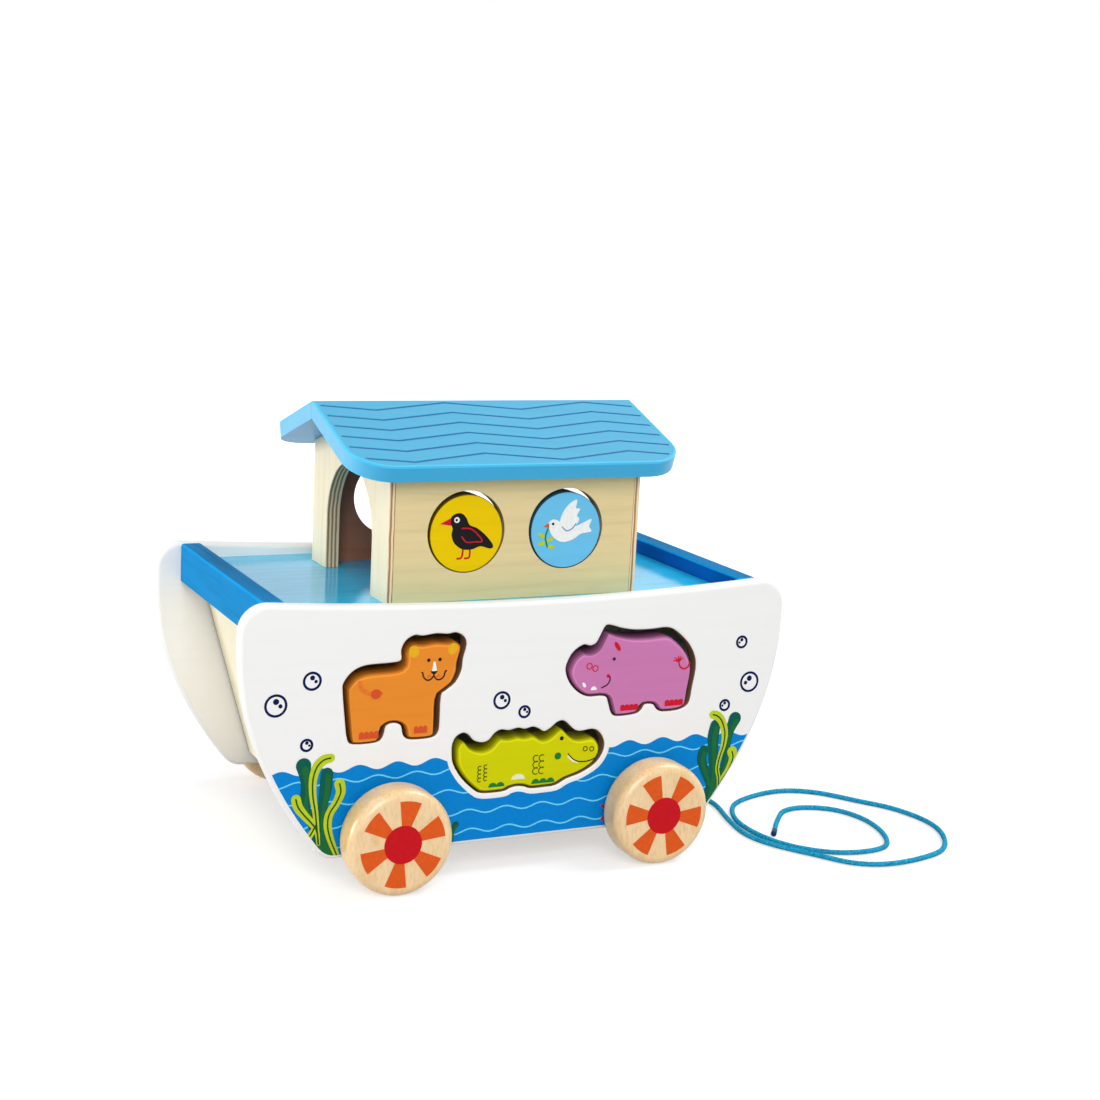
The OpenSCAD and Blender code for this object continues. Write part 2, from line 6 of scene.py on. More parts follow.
import bmesh
import bpy
from mathutils import Matrix, Vector
from mathutils.geometry import delaunay_2d_cdt


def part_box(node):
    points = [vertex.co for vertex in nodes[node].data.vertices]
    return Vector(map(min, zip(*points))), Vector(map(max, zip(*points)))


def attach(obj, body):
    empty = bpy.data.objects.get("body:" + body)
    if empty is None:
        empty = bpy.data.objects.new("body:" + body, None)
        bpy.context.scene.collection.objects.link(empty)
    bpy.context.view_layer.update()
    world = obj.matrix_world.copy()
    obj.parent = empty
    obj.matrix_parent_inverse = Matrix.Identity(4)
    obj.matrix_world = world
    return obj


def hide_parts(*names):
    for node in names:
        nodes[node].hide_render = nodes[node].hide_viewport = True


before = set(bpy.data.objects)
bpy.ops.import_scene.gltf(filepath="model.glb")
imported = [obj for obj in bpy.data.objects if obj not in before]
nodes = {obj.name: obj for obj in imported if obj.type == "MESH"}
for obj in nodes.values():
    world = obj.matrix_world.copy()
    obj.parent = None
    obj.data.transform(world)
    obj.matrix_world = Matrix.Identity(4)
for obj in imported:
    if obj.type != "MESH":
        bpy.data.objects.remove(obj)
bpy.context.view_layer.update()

# Lengths are in millimetres where no comment says metres, and MM brings them to the frame's metres
MM = 0.001
# Points closer than this are one point
NEAR = 0.001

# Camera, fitted to the photograph: where it looks and from how far, in metres, and its angles
LOOK_AT = Vector((0.0500, 0.0, 0.1497))
DISTANCE = 1.0493
AZIMUTH = radians(-26.138)
ELEVATION = radians(10.910)
ROLL = radians(2.928)
FOCAL_PER_FRAME = 1.72074
SENSOR = 36.0

# Printed layers: how far the first one stands proud of its board, each next one above it, and how deep all go
INK = 0.10
LAYER = 0.05
SUNK = 0.03
# Height above the floor that the hull's pictures count from
PICTURE_Z = 2.0

# The hull's sides and ends, with the sign of the way out
SIDES = (("sorter", -1), ("door", 1))
ENDS = (("stern", -1), ("bow", 1))


def rgb(red, green, blue):
    """Linear colour of an 8-bit screen colour."""
    parts = [c / 255 for c in (red, green, blue)]
    return tuple(c / 12.92 if c <= 0.04045 else ((c + 0.055) / 1.055) ** 2.4 for c in parts) + (1.0,)


def shade(colour, factor):
    return tuple(min(1.0, c * factor) for c in colour[:3]) + (1.0,)


def scaled(values, factor):
    return tuple(value * factor for value in values)


# Materials

# Patterns, in cycles per metre along each axis
GRAIN_X = (14, 260, 260)
GRAIN_Y = (260, 14, 260)
GRAIN_Z = (260, 260, 14)
WHEEL_GRAIN = (360, 360, 110)
EVEN = (60, 60, 60)
PLY_RIPPLE = (90, 90, 90)
INK_MOTTLE = (500, 500, 500)
CORD_FUZZ = (1300, 1300, 1300)

# Painted light on a loose block: shares of its colour on its rim and sides, each after how far the place
# faces front or back; the animals' rims are lighter as a painted highlight, and the animals' and discs' sides
# darker as painted shade
ANIMAL_SHADE_AND_HIGHLIGHT = ((0.5, 0.62), (0.8, 0.8), (0.9, 1.22), (0.985, 1.12))
DISC_SIDE_SHADE = ((0.5, 0.16), (0.8, 0.3), (0.985, 0.9))
BLOCK_FLAT = 0.988
# Least slant, along its thickness, of a board's faces
FACING = 0.6

# Slope of the roof, length of a roof board down it, and radius of its corners at the eaves
ROOF_SLOPE = radians(18.4)
ROOF_RUN = 75.0
EAVE_R = 22.0
# Depths between which a groove lies in the roof, and its least distance from the outline
GROOVE_DEPTHS = (0.25, 1.3)
GROOVE_EDGE = 1.8
# Painted highlight along the outline of the roof's top: share of the roof's colour there, and the width of
# that line
ROOF_HIGHLIGHT = 1.4
ROOF_HIGHLIGHT_WIDTH = 1.2
# Shares of a rail's outer colour on its top, darker as painted shade, and along its edges, lighter as a
# painted highlight, and the least slant of a flat face
RAIL_TOP_SHADE = 0.82
RAIL_EDGE_HIGHLIGHT = 1.3
RAIL_FLAT = 0.96
# Width of the line where an end board meets the side panels
JOINT_WIDTH = 1.4
# Layers of the cabin's plywood, and how far they waver, as a share of its thickness
PLY_COUNT = 7
PLY_WAVER = 0.12


class Shading:
    """The shader nodes of one material, or of the world."""

    def __init__(self, owner):
        owner.use_nodes = True
        self.owner = owner
        self.tree = owner.node_tree

    def fill(self, node, values):
        """Gives inputs, named in (name, value) pairs, a plain value or another node's output."""
        for key, value in values:
            if isinstance(value, bpy.types.NodeSocket):
                self.tree.links.new(value, node.inputs[key])
            else:
                node.inputs[key].default_value = value

    def add(self, kind, values=(), **settings):
        node = self.tree.nodes.new("ShaderNode" + kind)
        for key, value in settings.items():
            setattr(node, key, value)
        self.fill(node, values)
        return node

    def maths(self, operation, *values):
        return self.add("Math", enumerate(values), operation=operation).outputs["Value"]

    def size(self, value):
        return self.maths("ABSOLUTE", value)

    def times(self, first, second):
        return self.maths("MULTIPLY", first, second)

    def minus(self, first, second):
        return self.maths("SUBTRACT", first, second)

    def above(self, value, limit):
        return self.maths("GREATER_THAN", value, limit)

    def below(self, value, limit):
        return self.maths("LESS_THAN", value, limit)

    def between(self, value, *ends):
        """The value carried over from one range to another, each given by its ends."""
        return self.add("MapRange", enumerate((value, *ends))).outputs["Result"]

    def mix(self, factor, first, second):
        """The first colour where factor is 0 and the second where it is 1."""
        return self.add("Mix", [(0, factor), (6, first), (7, second)], data_type="RGBA").outputs[2]

    def axes(self, output):
        """The X, Y and Z of the piece's own position or normal."""
        parts = self.add("SeparateXYZ", [("Vector", self.add("TexCoord").outputs[output])])
        return [parts.outputs[axis] for axis in "XYZ"]

    def noise(self, stretch, detail=4.0, twist=0.0):
        """Noise over the piece's own coordinates, in cycles per metre along each axis."""
        coords = self.add("TexCoord").outputs["Object"]
        place = self.add("Mapping", [("Vector", coords), ("Scale", stretch)]).outputs["Vector"]
        values = [("Scale", 1.0), ("Detail", detail), ("Roughness", 0.55), ("Distortion", twist)]
        return self.add("TexNoise", [("Vector", place), *values]).outputs["Fac"]

    def ramp(self, factor, stops, stepped=False):
        """Colours along a factor, from (position, colour) stops."""
        node = self.add("ValToRGB", [("Fac", factor)])
        node.color_ramp.interpolation = "CONSTANT" if stepped else "EASE"
        elements = node.color_ramp.elements
        while len(elements) < len(stops):
            elements.new(0.5)
        for element, (position, colour) in zip(elements, stops):
            element.position = position
            element.color = colour
        return node.outputs["Color"]

    def seen_by_eye(self):
        """1 for what the camera sees, also by way of gloss and glass, and 0 for other light."""
        rays = self.add("LightPath").outputs
        through = self.maths("MAXIMUM", rays["Is Glossy Ray"], rays["Is Transmission Ray"])
        return self.maths("MAXIMUM", rays["Is Camera Ray"], through)


class Finish(Shading):
    """A piece's material, with one fine pattern as its fibre."""

    def __init__(self, name, roughness, gloss, stretch, detail=4.0, twist=0.3):
        super().__init__(bpy.data.materials.new(name))
        self.shader = self.tree.nodes["Principled BSDF"]
        self.roughness = roughness
        self.fill(self.shader, [("Roughness", roughness), ("Specular IOR Level", gloss)])
        self.fibre = self.noise(stretch, detail, twist)

    def grained(self, colour, grain, fibre=None):
        """A colour with streaks along the fibre."""
        stops = [(0.25, shade(colour, 1 - grain)), (0.55, colour), (0.8, shade(colour, 1 + grain * 0.6))]
        return self.ramp(fibre or self.fibre, stops)

    def done(self, colour, spread=(0.06, 0.08), relief=0.12, depth=0.2, by_fibre=False):
        """The material, with a colour, a spread of roughness and the relief of its fibre."""
        values = [("Base Color", colour)]
        if spread:
            low, high = self.roughness - spread[0], self.roughness + spread[1]
            pattern = self.fibre if by_fibre else self.noise(EVEN)
            values.append(("Roughness", self.between(pattern, 0, 1, low, high)))
        if relief:
            bump = [("Height", self.fibre), ("Strength", relief), ("Distance", depth * MM)]
            values.append(("Normal", self.add("Bump", bump).outputs["Normal"]))
        self.fill(self.shader, values)
        return self.owner


def painted(name, colour, stretch, roughness, gloss):
    """Paint on wood, with a little of the grain showing through."""
    paint = Finish(name, roughness, gloss, stretch)
    return paint.done(paint.grained(colour, 0.2))


def block_paint(name, colour, painted_light_rim):
    """Satin paint on a loose block, with a painted highlight and painted shade as shares of its colour on its
    rim and sides.
    """
    paint = Finish(name, 0.38, 0.08, GRAIN_X)
    facing = paint.size(paint.axes("Normal")[1])
    # Painted shade on the sides and a painted highlight on the rim
    shaded_and_lit_sides = paint.ramp(facing, [(low, shade(colour, share)) for low, share in painted_light_rim])
    return paint.done(paint.mix(paint.above(facing, BLOCK_FLAT), shaded_and_lit_sides, paint.grained(colour, 0.045)))


def ink(name, colour):
    """Print on a painted board: an even film with faint mottling."""
    film = Finish(name, 0.45, 0.08, INK_MOTTLE, 2.0, 0.0)
    tone = film.ramp(film.fibre, [(0.3, shade(colour, 0.95)), (0.7, shade(colour, 1.04))])
    return film.done(tone, (0.07, 0.07), relief=None, by_fibre=True)


def board_paint(name, outer, inner, edge, outward, holes=None):
    """Paint on a board's outer face, with other colours on its inner face and its edges, or only on the edges
    of its holes if holes says how far to each side, how low and how high they are."""
    paint = Finish(name, 0.38, 0.2, GRAIN_X)
    facing = paint.times(paint.axes("Normal")[1], outward)
    is_edge = paint.below(paint.size(facing), FACING)
    if holes:
        x, _, z = paint.axes("Object")
        side, low, high = scaled(holes, MM)
        for inside in (paint.below(paint.size(x), side), paint.above(z, low), paint.below(z, high)):
            is_edge = paint.times(is_edge, inside)
    is_inner = paint.below(facing, -FACING)
    faces = paint.mix(is_inner, paint.grained(outer, 0.012), paint.grained(inner, 0.018))
    return paint.done(paint.mix(is_edge, faces, paint.grained(edge, 0.12)), relief=0.08)


def roof_paint():
    """Satin paint on a roof board, with darker paint and painted shade in the grooves, painted shade along
    the eave, a painted highlight along the outline of its top, and painted light over the gables.
    """
    paint = Finish("roof_paint", 0.36, 0.6, GRAIN_X)
    colours = (ROOF, shade(ROOF, ROOF_HIGHLIGHT), GROOVE_PAINT_AND_SHADE, EAVE_SHADE, GABLE_LIGHT)
    plain, painted_light_rim, dark, shaded_eave, lit_gable = [paint.grained(c, 0.05) for c in colours]
    low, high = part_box("roof_board_sorter")
    x, y, z = paint.axes("Object")
    across = paint.size(y)
    drop = paint.times(paint.minus(high.z, z), cos(ROOF_SLOPE))
    depth = paint.minus(drop, paint.times(across, sin(ROOF_SLOPE)))
    along = paint.size(paint.minus(x, (low.x + high.x) / 2))
    along = paint.minus(along, (high.x - low.x) / 2 - EAVE_R * MM)
    down = paint.minus(paint.times(across, 1 / cos(ROOF_SLOPE)), (ROOF_RUN - EAVE_R) * MM)
    corner = [paint.maths("POWER", paint.maths("MAXIMUM", c, 0.0), 2.0) for c in (along, down)]
    reach = paint.maths("SQRT", paint.maths("ADD", *corner))
    inside = paint.below(reach, (EAVE_R - GROOVE_EDGE) * MM)
    grooved = paint.times(inside, paint.above(depth, GROOVE_DEPTHS[0] * MM))
    top = paint.mix(paint.above(reach, (EAVE_R - ROOF_HIGHLIGHT_WIDTH) * MM), plain, painted_light_rim)
    endward = paint.axes("Normal")[0]
    edges = paint.mix(paint.times(endward, endward), shaded_eave, lit_gable)
    at_edge = paint.above(depth, GROOVE_DEPTHS[1] * MM)
    return paint.done(paint.mix(at_edge, paint.mix(grooved, top, dark), edges))


def end_paint():
    """Clear coat on a pale end board, with the line of the joint along its sides."""
    coat = Finish("end_board_paint", 0.4, 0.15, GRAIN_Y)
    line = coat.grained(JOINT, 0.2, coat.noise(GRAIN_Z, twist=0.3))
    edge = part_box("end_board_stern")[1].y - JOINT_WIDTH * MM
    at_edge = coat.above(coat.size(coat.axes("Object")[1]), edge)
    return coat.done(coat.mix(at_edge, coat.grained(CREAM, 0.04), line), (0.06, 0.06))


def rail_paint():
    """Brushed paint on a rail, lightest on its outer face, with stronger brush streaks and painted shade on
    its top, painted shade on its inner face and a painted highlight along its edges.
    """
    paint = Finish("rail_paint", 0.5, 0.015, GRAIN_Y)
    top = paint.grained(shade(RAIL, RAIL_TOP_SHADE), 0.34)
    edge_highlight = paint.grained(shade(RAIL, RAIL_EDGE_HIGHLIGHT), 0.2)
    normal = paint.axes("Normal")
    x, y, z = [paint.size(part) for part in normal]
    flattest = paint.maths("MAXIMUM", x, paint.maths("MAXIMUM", y, z))
    outward = paint.times(normal[0], paint.maths("SIGN", paint.axes("Object")[0]))
    faces = paint.mix(paint.below(outward, -RAIL_FLAT), top, paint.grained(RAIL_INNER_SHADE, 0.2))
    faces = paint.mix(paint.above(outward, RAIL_FLAT), faces, paint.grained(RAIL, 0.2))
    is_edge = paint.below(flattest, RAIL_FLAT)
    return paint.done(paint.mix(is_edge, faces, edge_highlight), (0.08, 0.08), 0.2, 0.3)


def metal(name, colour, stretch):
    """Drawn or plated metal with fine scratches along one way."""
    plate = Finish(name, 0.35, 0.5, stretch, 3.0, 0.0)
    plate.fill(plate.shader, [("Metallic", 1.0)])
    tone = plate.ramp(plate.fibre, [(0.3, shade(colour, 0.85)), (0.7, shade(colour, 1.1))])
    return plate.done(tone, (0.07, 0.1), 0.1, 0.1, by_fibre=True)


def plain_wood(name, light, dark, stretch, roughness=0.45, gloss=0.25):
    """Clear-coated wood: a soft wide figure with fine fibres."""
    wood = Finish(name, roughness, gloss, scaled(stretch, 2.2), 3.0, 0.0)
    wide = wood.noise(scaled(stretch, 0.28), 5.0, 0.8)
    figure = wood.ramp(wide, [(0.25, dark), (0.7, light)])
    fine = wood.ramp(wood.fibre, [(0.3, shade(dark, 0.96)), (0.6, light)])
    return wood.done(wood.mix(0.45, figure, fine), (0.08, 0.1), 0.15, by_fibre=True)


def plywood(node, veneer, axis, outward, stretch):
    """A cabin wall: veneer outside, darkened inside as painted shade, and glued layers along its edges.

    axis is that of the wall's thickness, and outward the sign of its outer face."""
    wood = Finish(f"{node}_ply", 0.5, 0.2, stretch)
    low, high = (corner[axis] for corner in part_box(node))
    waver = wood.times(wood.noise(PLY_RIPPLE), (high - low) * PLY_WAVER)
    depth = wood.maths("ADD", wood.axes("Object")[axis], waver)
    stops = [(i / PLY_COUNT, PLY_DARK if i % 2 else PLY_LAYER) for i in range(PLY_COUNT)]
    layers = wood.ramp(wood.between(depth, low, high), stops, stepped=True)
    facing = wood.times(wood.axes("Normal")[axis], outward)
    is_inner = wood.below(facing, -FACING)
    faces = wood.mix(is_inner, wood.grained(veneer, 0.09), wood.grained(CABIN_INSIDE_SHADE, 0.12))
    is_face = wood.above(wood.size(facing), FACING)
    return wood.done(wood.mix(is_face, layers, faces), (0.08, 0.06), 0.15, by_fibre=True)


def braid():
    """Fuzzy thread of a braided cord."""
    thread = Finish("cord_braid", 0.75, 0.08, CORD_FUZZ, 3.0, 0.0)
    stops = [(0.32, shade(CORD, 0.4)), (0.5, CORD), (0.68, shade(CORD, 1.5))]
    return thread.done(thread.ramp(thread.fibre, stops), spread=None, relief=0.5)


WHITE = rgb(246, 246, 245)
CREAM = rgb(253, 245, 216)
PALE_CREAM = rgb(249, 247, 242)
PLY = rgb(233, 211, 157)
PALE_PLY = rgb(255, 238, 203)
PLY_LAYER = rgb(246, 222, 182)
PLY_DARK = rgb(172, 132, 90)
JOINT = rgb(84, 64, 24)
# Wood on the sorter holes' walls, darkened as painted shade
HOLE_WOOD_AND_SHADE = rgb(132, 104, 78)
# Painted shade on the cabin walls' inner faces
CABIN_INSIDE_SHADE = rgb(184, 122, 94)
ROOF = rgb(48, 168, 210)
# Roof colours: darker paint with painted shade in the grooves, painted shade on the eave and painted light on
# the gables
GROOVE_PAINT_AND_SHADE = rgb(20, 112, 168)
EAVE_SHADE = rgb(28, 166, 216)
GABLE_LIGHT = rgb(92, 190, 232)
RAIL = rgb(14, 140, 206)
# Painted shade on the rails' inner faces
RAIL_INNER_SHADE = rgb(6, 97, 180)
CORD = rgb(34, 156, 198)

INKS = {name: ink(f"{name}_ink", rgb(*colour)) for name, colour in {
    "water": (0, 132, 214), "ripple": (116, 216, 252), "navy": (8, 22, 74), "weed": (8, 92, 78),
    "weed_light": (28, 106, 58), "frond": (190, 208, 44), "vein": (44, 80, 24), "black": (26, 24, 26),
    "white": (248, 248, 246), "red": (206, 26, 44), "rust": (214, 84, 44), "gold": (234, 178, 34),
    "green": (24, 124, 52), "olive": (84, 92, 8), "leaf": (196, 208, 20), "grey": (120, 160, 186),
    "tail": (228, 122, 48), "plum": (72, 24, 58), "pale": (238, 238, 206), "petal": (226, 92, 32),
    "hub": (202, 20, 32), "ring": (20, 110, 196),
}.items()}


# Outlines

OVAL_STEPS = 28
ARC_STEPS = 12
END_STEPS = 8
# Width of a toe, in shares of the room that it has, and how far its sole reaches into it
TOE_WIDTH = 1.1
TOE_LAP = 0.1


def spaced(low, high, count):
    """Values from low to high with count equal steps between them."""
    return [low + (high - low) * i / count for i in range(count + 1)]


def smooth(points, steps, closed=False):
    """A smooth curve through points, with steps straight stretches from each to the next."""
    points = [Vector(p) for p in points]
    around = [points[-1], *points, *points[:2]] if closed else [points[0], *points, points[-1]]
    curve = []
    for a, b, c, d in zip(around, around[1:], around[2:], around[3:]):
        for t in spaced(0, 1, steps)[:-1]:
            bend = (2 * a - 5 * b + 4 * c - d) * t ** 2 / 2 + (3 * b - a - 3 * c + d) * t ** 3 / 2
            curve.append(b + (c - a) * t / 2 + bend)
    return curve if closed else [*curve, points[-1]]


def area(loop):
    return sum(a[0] * b[1] - b[0] * a[1] for a, b in zip(loop, loop[1:] + loop[:1])) / 2


def turned(loop):
    """The loop with its inside on the left."""
    return loop if area(loop) > 0 else loop[::-1]


def grown(loop, distances):
    """The loop moved outwards by a distance, or by one for each point; negative ones go inwards."""
    loop = [Vector(p) for p in turned(list(loop))]
    if isinstance(distances, (int, float)):
        distances = [distances] * len(loop)
    moved = []
    for before, point, after, distance in zip(loop[-1:] + loop[:-1], loop, loop[1:] + loop[:1], distances):
        first = (point - before).normalized()
        second = (after - point).normalized()
        normal = Vector((first.y + second.y, -first.x - second.x))
        length = max(normal.length, 1.0)
        moved.append(point + normal * (2 * distance / length ** 2))
    return moved


def arc(u, v, wide, high, degrees):
    """Points at angles on an oval of two radii."""
    angles = [radians(d) for d in degrees]
    return [Vector((u + wide * cos(a), v + high * sin(a))) for a in angles]


def oval(u, v, width, height, tilt=0.0):
    turn = Matrix.Rotation(radians(tilt), 2)
    outline = arc(0, 0, width / 2, height / 2, spaced(0, 360, OVAL_STEPS)[:-1])
    return [Vector((u, v)) + turn @ point for point in outline]


def disc(u, v, radius):
    return oval(u, v, 2 * radius, 2 * radius)


def discs(places, radius):
    return [disc(u, v, radius) for u, v in places]


def half_oval(u, low, width, height):
    """The upper half of an oval."""
    return arc(u, low, width / 2, height, spaced(0, 180, ARC_STEPS))


def stroke(points, widths, steps=6):
    """A brush stroke with round ends along a smooth line; widths are given at its points."""
    if isinstance(widths, (int, float)):
        widths = [widths] * len(points)
    line = smooth([Vector((*p, w)) for p, w in zip(points, widths)], steps)
    left, right = [], []
    for i, here in enumerate(line):
        ahead = (line[min(i + 1, len(line) - 1)] - line[max(i - 1, 0)]).to_2d().normalized()
        across = Vector((-ahead.y, ahead.x)) * here.z / 2
        left.append(here.to_2d() + across)
        right.append(here.to_2d() - across)
    return left + round_end(line[-1], left[-1]) + right[::-1] + round_end(line[0], right[0])


def round_end(end, start):
    """The half circle round a stroke's end, from one side over to the other, without its two ends."""
    middle = end.to_2d()
    turns = [Matrix.Rotation(-pi * k / END_STEPS, 2) for k in range(1, END_STEPS)]
    return [middle + turn @ (start - middle) for turn in turns]


def toes(left, right, low, sole, rise, count):
    """A foot's row of round toes on a flat sole."""
    pitch = (right - left) / count
    row = [half_oval(left + pitch * (k + 0.5), low + sole, pitch * TOE_WIDTH, rise) for k in range(count)]
    if sole:
        top = low + sole + TOE_LAP
        row.append([(left, low), (right, low), (right, top), (left, top)])
    return row


# Pieces and printed layers

# A face with a picture: the picture's origin, the sign of the way out, and the face's body
Face = namedtuple("Face", "x y z out body")
SORTER_FACE = Face(0.0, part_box("side_panel_sorter")[0].y / MM, PICTURE_Z, -1, "hull")
DOOR_FACE = Face(0.0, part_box("side_panel_door")[1].y / MM, PICTURE_Z, 1, "hull")


def face_of(node, body, out=-1):
    """A node's face on the sorter side, or on the door side if out is 1, with its middle as origin."""
    low, high = (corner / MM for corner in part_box(node))
    middle = (low + high) / 2
    return Face(middle.x, low.y if out < 0 else high.y, middle.z, out, body)


def on_face(face, point, lift):
    """Point of the frame for a point of a picture, seen from outside the face."""
    return Vector((face.x - face.out * point[0], face.y + face.out * lift, face.z + point[1])) * MM


def border(polygons):
    """Edges of polygons that have none of them on the other side, in order."""
    edges = {edge for corners in polygons for edge in zip(corners, [*corners[1:], corners[0]])}
    return [(a, b) for a, b in sorted(edges) if (b, a) not in edges]


def flat_region(shapes, holes=(), within=None):
    """Corners and triangles of what the shapes cover, less the holes, and inside one loop if given."""
    loops = [turned(list(loop)) for loop in [*shapes, *holes, *([within] if within else [])]]
    corners, faces = [], []
    for loop in loops:
        faces.append(list(range(len(corners), len(corners) + len(loop))))
        corners += [Vector(p) for p in loop]
    found = delaunay_2d_cdt(corners, [], faces, 0, NEAR)
    first_hole = len(shapes)
    limit = first_hole + len(holes)
    kept = []
    for triangle, owners in zip(found[2], found[5]):
        drawn = any(i < first_hole for i in owners)
        cut = any(first_hole <= i < limit for i in owners)
        if drawn and not cut and (not within or limit in owners):
            kept.append(triangle)
    return found[0], kept


def add_object(name, data):
    thing = bpy.data.objects.new(name, data)
    bpy.context.scene.collection.objects.link(thing)
    return thing


def add_piece(name, form, body, material):
    """A piece of the object that rides on a body, with its points joined and its faces turned outwards."""
    bmesh.ops.remove_doubles(form, verts=form.verts, dist=NEAR * MM)
    bmesh.ops.recalc_face_normals(form, faces=form.faces)
    mesh = bpy.data.meshes.new(name)
    form.to_mesh(mesh)
    form.free()
    mesh.materials.append(material)
    piece = add_object(name, mesh)
    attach(piece, body)
    return piece


def print_on(name, face, colour, layer, shapes, holes=(), within=None):
    """A thin closed film of one ink in the given shapes, on top of the layers below it."""
    corners, triangles = flat_region(shapes, holes, within)
    form = bmesh.new()
    upper, lower = {}, {}
    for i in sorted({i for triangle in triangles for i in triangle}):
        upper[i] = form.verts.new(on_face(face, corners[i], INK + LAYER * layer))
        lower[i] = form.verts.new(on_face(face, corners[i], -SUNK))
    for triangle in triangles:
        form.faces.new([upper[i] for i in triangle])
        form.faces.new([lower[i] for i in reversed(triangle)])
    for a, b in border(triangles):
        form.faces.new((upper[b], upper[a], lower[a], lower[b]))
    add_piece(name, form, face.body, INKS[colour])


def print_picture(name, face, *films):
    """Films that make up one picture, each with its name, ink, layer, shapes and perhaps holes."""
    for part, colour, layer, *loops in films:
        print_on(f"{name}_{part}", face, colour, layer, *loops)


def face_loops(node, face):
    """Outlines of a node's flat face, as its picture counts; the largest comes first."""
    mesh = nodes[node].data
    places = [tuple(round(c / MM, 3) for c in vertex.co) for vertex in mesh.vertices]
    polygons = [[places[i] for i in polygon.vertices] for polygon in mesh.polygons]
    flat = [corners for corners in polygons if all(abs(c[1] - face.y) < 0.01 for c in corners)]
    following = dict(border(flat))
    loops = []
    while following:
        here = next(iter(following))
        loop = []
        while here in following:
            loop.append(Vector((-face.out * (here[0] - face.x), here[2] - face.z)))
            here = following.pop(here)
        loops.append(turned(loop))
    return sorted(loops, key=area, reverse=True)


# Boards with rounded edges

EDGE_STEPS = 5
# Share of an outline's own radius that a rounding may take up, and how many points on each side share it
TIGHT_SHARE = 0.8
TIGHT_REACH = 4


def edge_reach(loop, radius, sign):
    """How far each point of an outline moves into the board to round its edge: the radius, or less in a tight
    corner. sign is -1 for the board's outside and 1 for a hole."""
    count = len(loop)
    room = []
    for i in range(count):
        first = loop[i] - loop[i - 1]
        second = loop[(i + 1) % count] - loop[i]
        bend = -sign * atan2(first.cross(second), first.dot(second))
        room.append((first.length + second.length) / 2 / max(bend, 0.01))
    around = range(-TIGHT_REACH, TIGHT_REACH + 1)
    tight = [min(room[(i + k) % count] for k in around) for i in range(count)]
    limited = [min(radius, TIGHT_SHARE * t) for t in tight]
    return [sum(limited[(i + k) % count] for k in around) / len(around) for i in range(count)]


def edge_rings(loop, radius, thickness, sign):
    """An outline carried round the board's edge, from its face to its back, as (loop, depth) pairs."""
    reach = edge_reach(loop, radius, sign)
    angles = spaced(0, pi / 2, EDGE_STEPS)
    front = [(1 - sin(a), radius * (1 - cos(a))) for a in angles]
    places = front + [(share, thickness - depth) for share, depth in reversed(front)]
    return [(grown(loop, [sign * share * r for r in reach]), depth) for share, depth in places]


def rounded_board(name, node, face, radii, material):
    """A board with a node's outlines and rounded edges; radii go from the largest outline on."""
    loops = face_loops(node, face)
    low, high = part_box(node)
    thickness = (high.y - low.y) / MM
    form = bmesh.new()
    flats = []
    for number, (loop, radius) in enumerate(zip(loops, radii)):
        rings = edge_rings(loop, radius, thickness, 1 if number else -1)
        flats.append(rings[0][0])
        corners = [[form.verts.new(on_face(face, p, -depth)) for p in ring] for ring, depth in rings]
        for before, after in zip(corners, corners[1:]):
            for j in range(len(before)):
                form.faces.new((before[j - 1], before[j], after[j], after[j - 1]))
    points, triangles = flat_region(flats[:1], flats[1:])
    for depth in (0.0, thickness):
        corners = [form.verts.new(on_face(face, p, -depth)) for p in points]
        for triangle in triangles:
            form.faces.new([corners[i] for i in triangle])
    for polygon in form.faces:
        polygon.smooth = True
    board = add_piece(name, form, face.body, material)
    board.modifiers.new("even_shading", "WEIGHTED_NORMAL")
    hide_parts(node)


# The sea along both sides of the hull

WAVE_TOP = 60.2
DOOR_SEA_DROP = 4.4
WAVE_RISE = 1.5
WAVE_LENGTH = 20.0
WAVE_CRESTS = (-89.6, 60.7)
# How far the sea is drawn past the outline that cuts it, and its distance from the board's edge and holes
SEA_PAST = 5
SEA_MARGIN = 2.2
HOLE_MARGIN = 3.0
DOOR_MARGIN = 1.4
# Height of each ripple line, and the place of one of its crests on the left and on the right
RIPPLES = [(54.4, -80, 70), (43.0, -104, 45.5), (31.5, -30, -30), (21.2, -28, -28)]
RIPPLE_RISE = 1.3
RIPPLE_LENGTH = 20.6
RIPPLE_WIDTH = 0.75
RIPPLE_STEPS = 60

# Dark weed: points and widths from the tip down, for the clumps on the left and on the right
WEEDS = [
    ([(-118.3, 63.8), (-117.2, 57), (-116.4, 51), (-117.4, 45), (-115, 38), (-111, 28), (-107, 15)],
     [7.8, 5.4, 6.2, 5, 4.4, 5, 6]),
    ([(-106.2, 58.6), (-106.8, 50), (-108, 42), (-108.3, 34), (-107, 25), (-103.5, 14)],
     [6.4, 6.4, 5, 5.6, 6.6, 9]),
    ([(113, 65.6), (112.2, 59), (112.8, 50), (113.6, 41), (113, 32), (111, 22)], [6.4, 7, 6, 6, 7, 7]),
    ([(125, 68.4), (122.4, 62), (121.3, 55), (121, 47), (118.5, 38), (115, 30), (111.5, 22)],
     [7.6, 5.4, 4.4, 4.4, 4, 5, 5]),
    ([(106.6, 52), (105.9, 47), (108.6, 40), (111.8, 33)], [6, 5.6, 5, 4]),
    ([(-36.6, 25.4), (-38.5, 22), (-39.4, 16)], [3.4, 3, 3]),
]
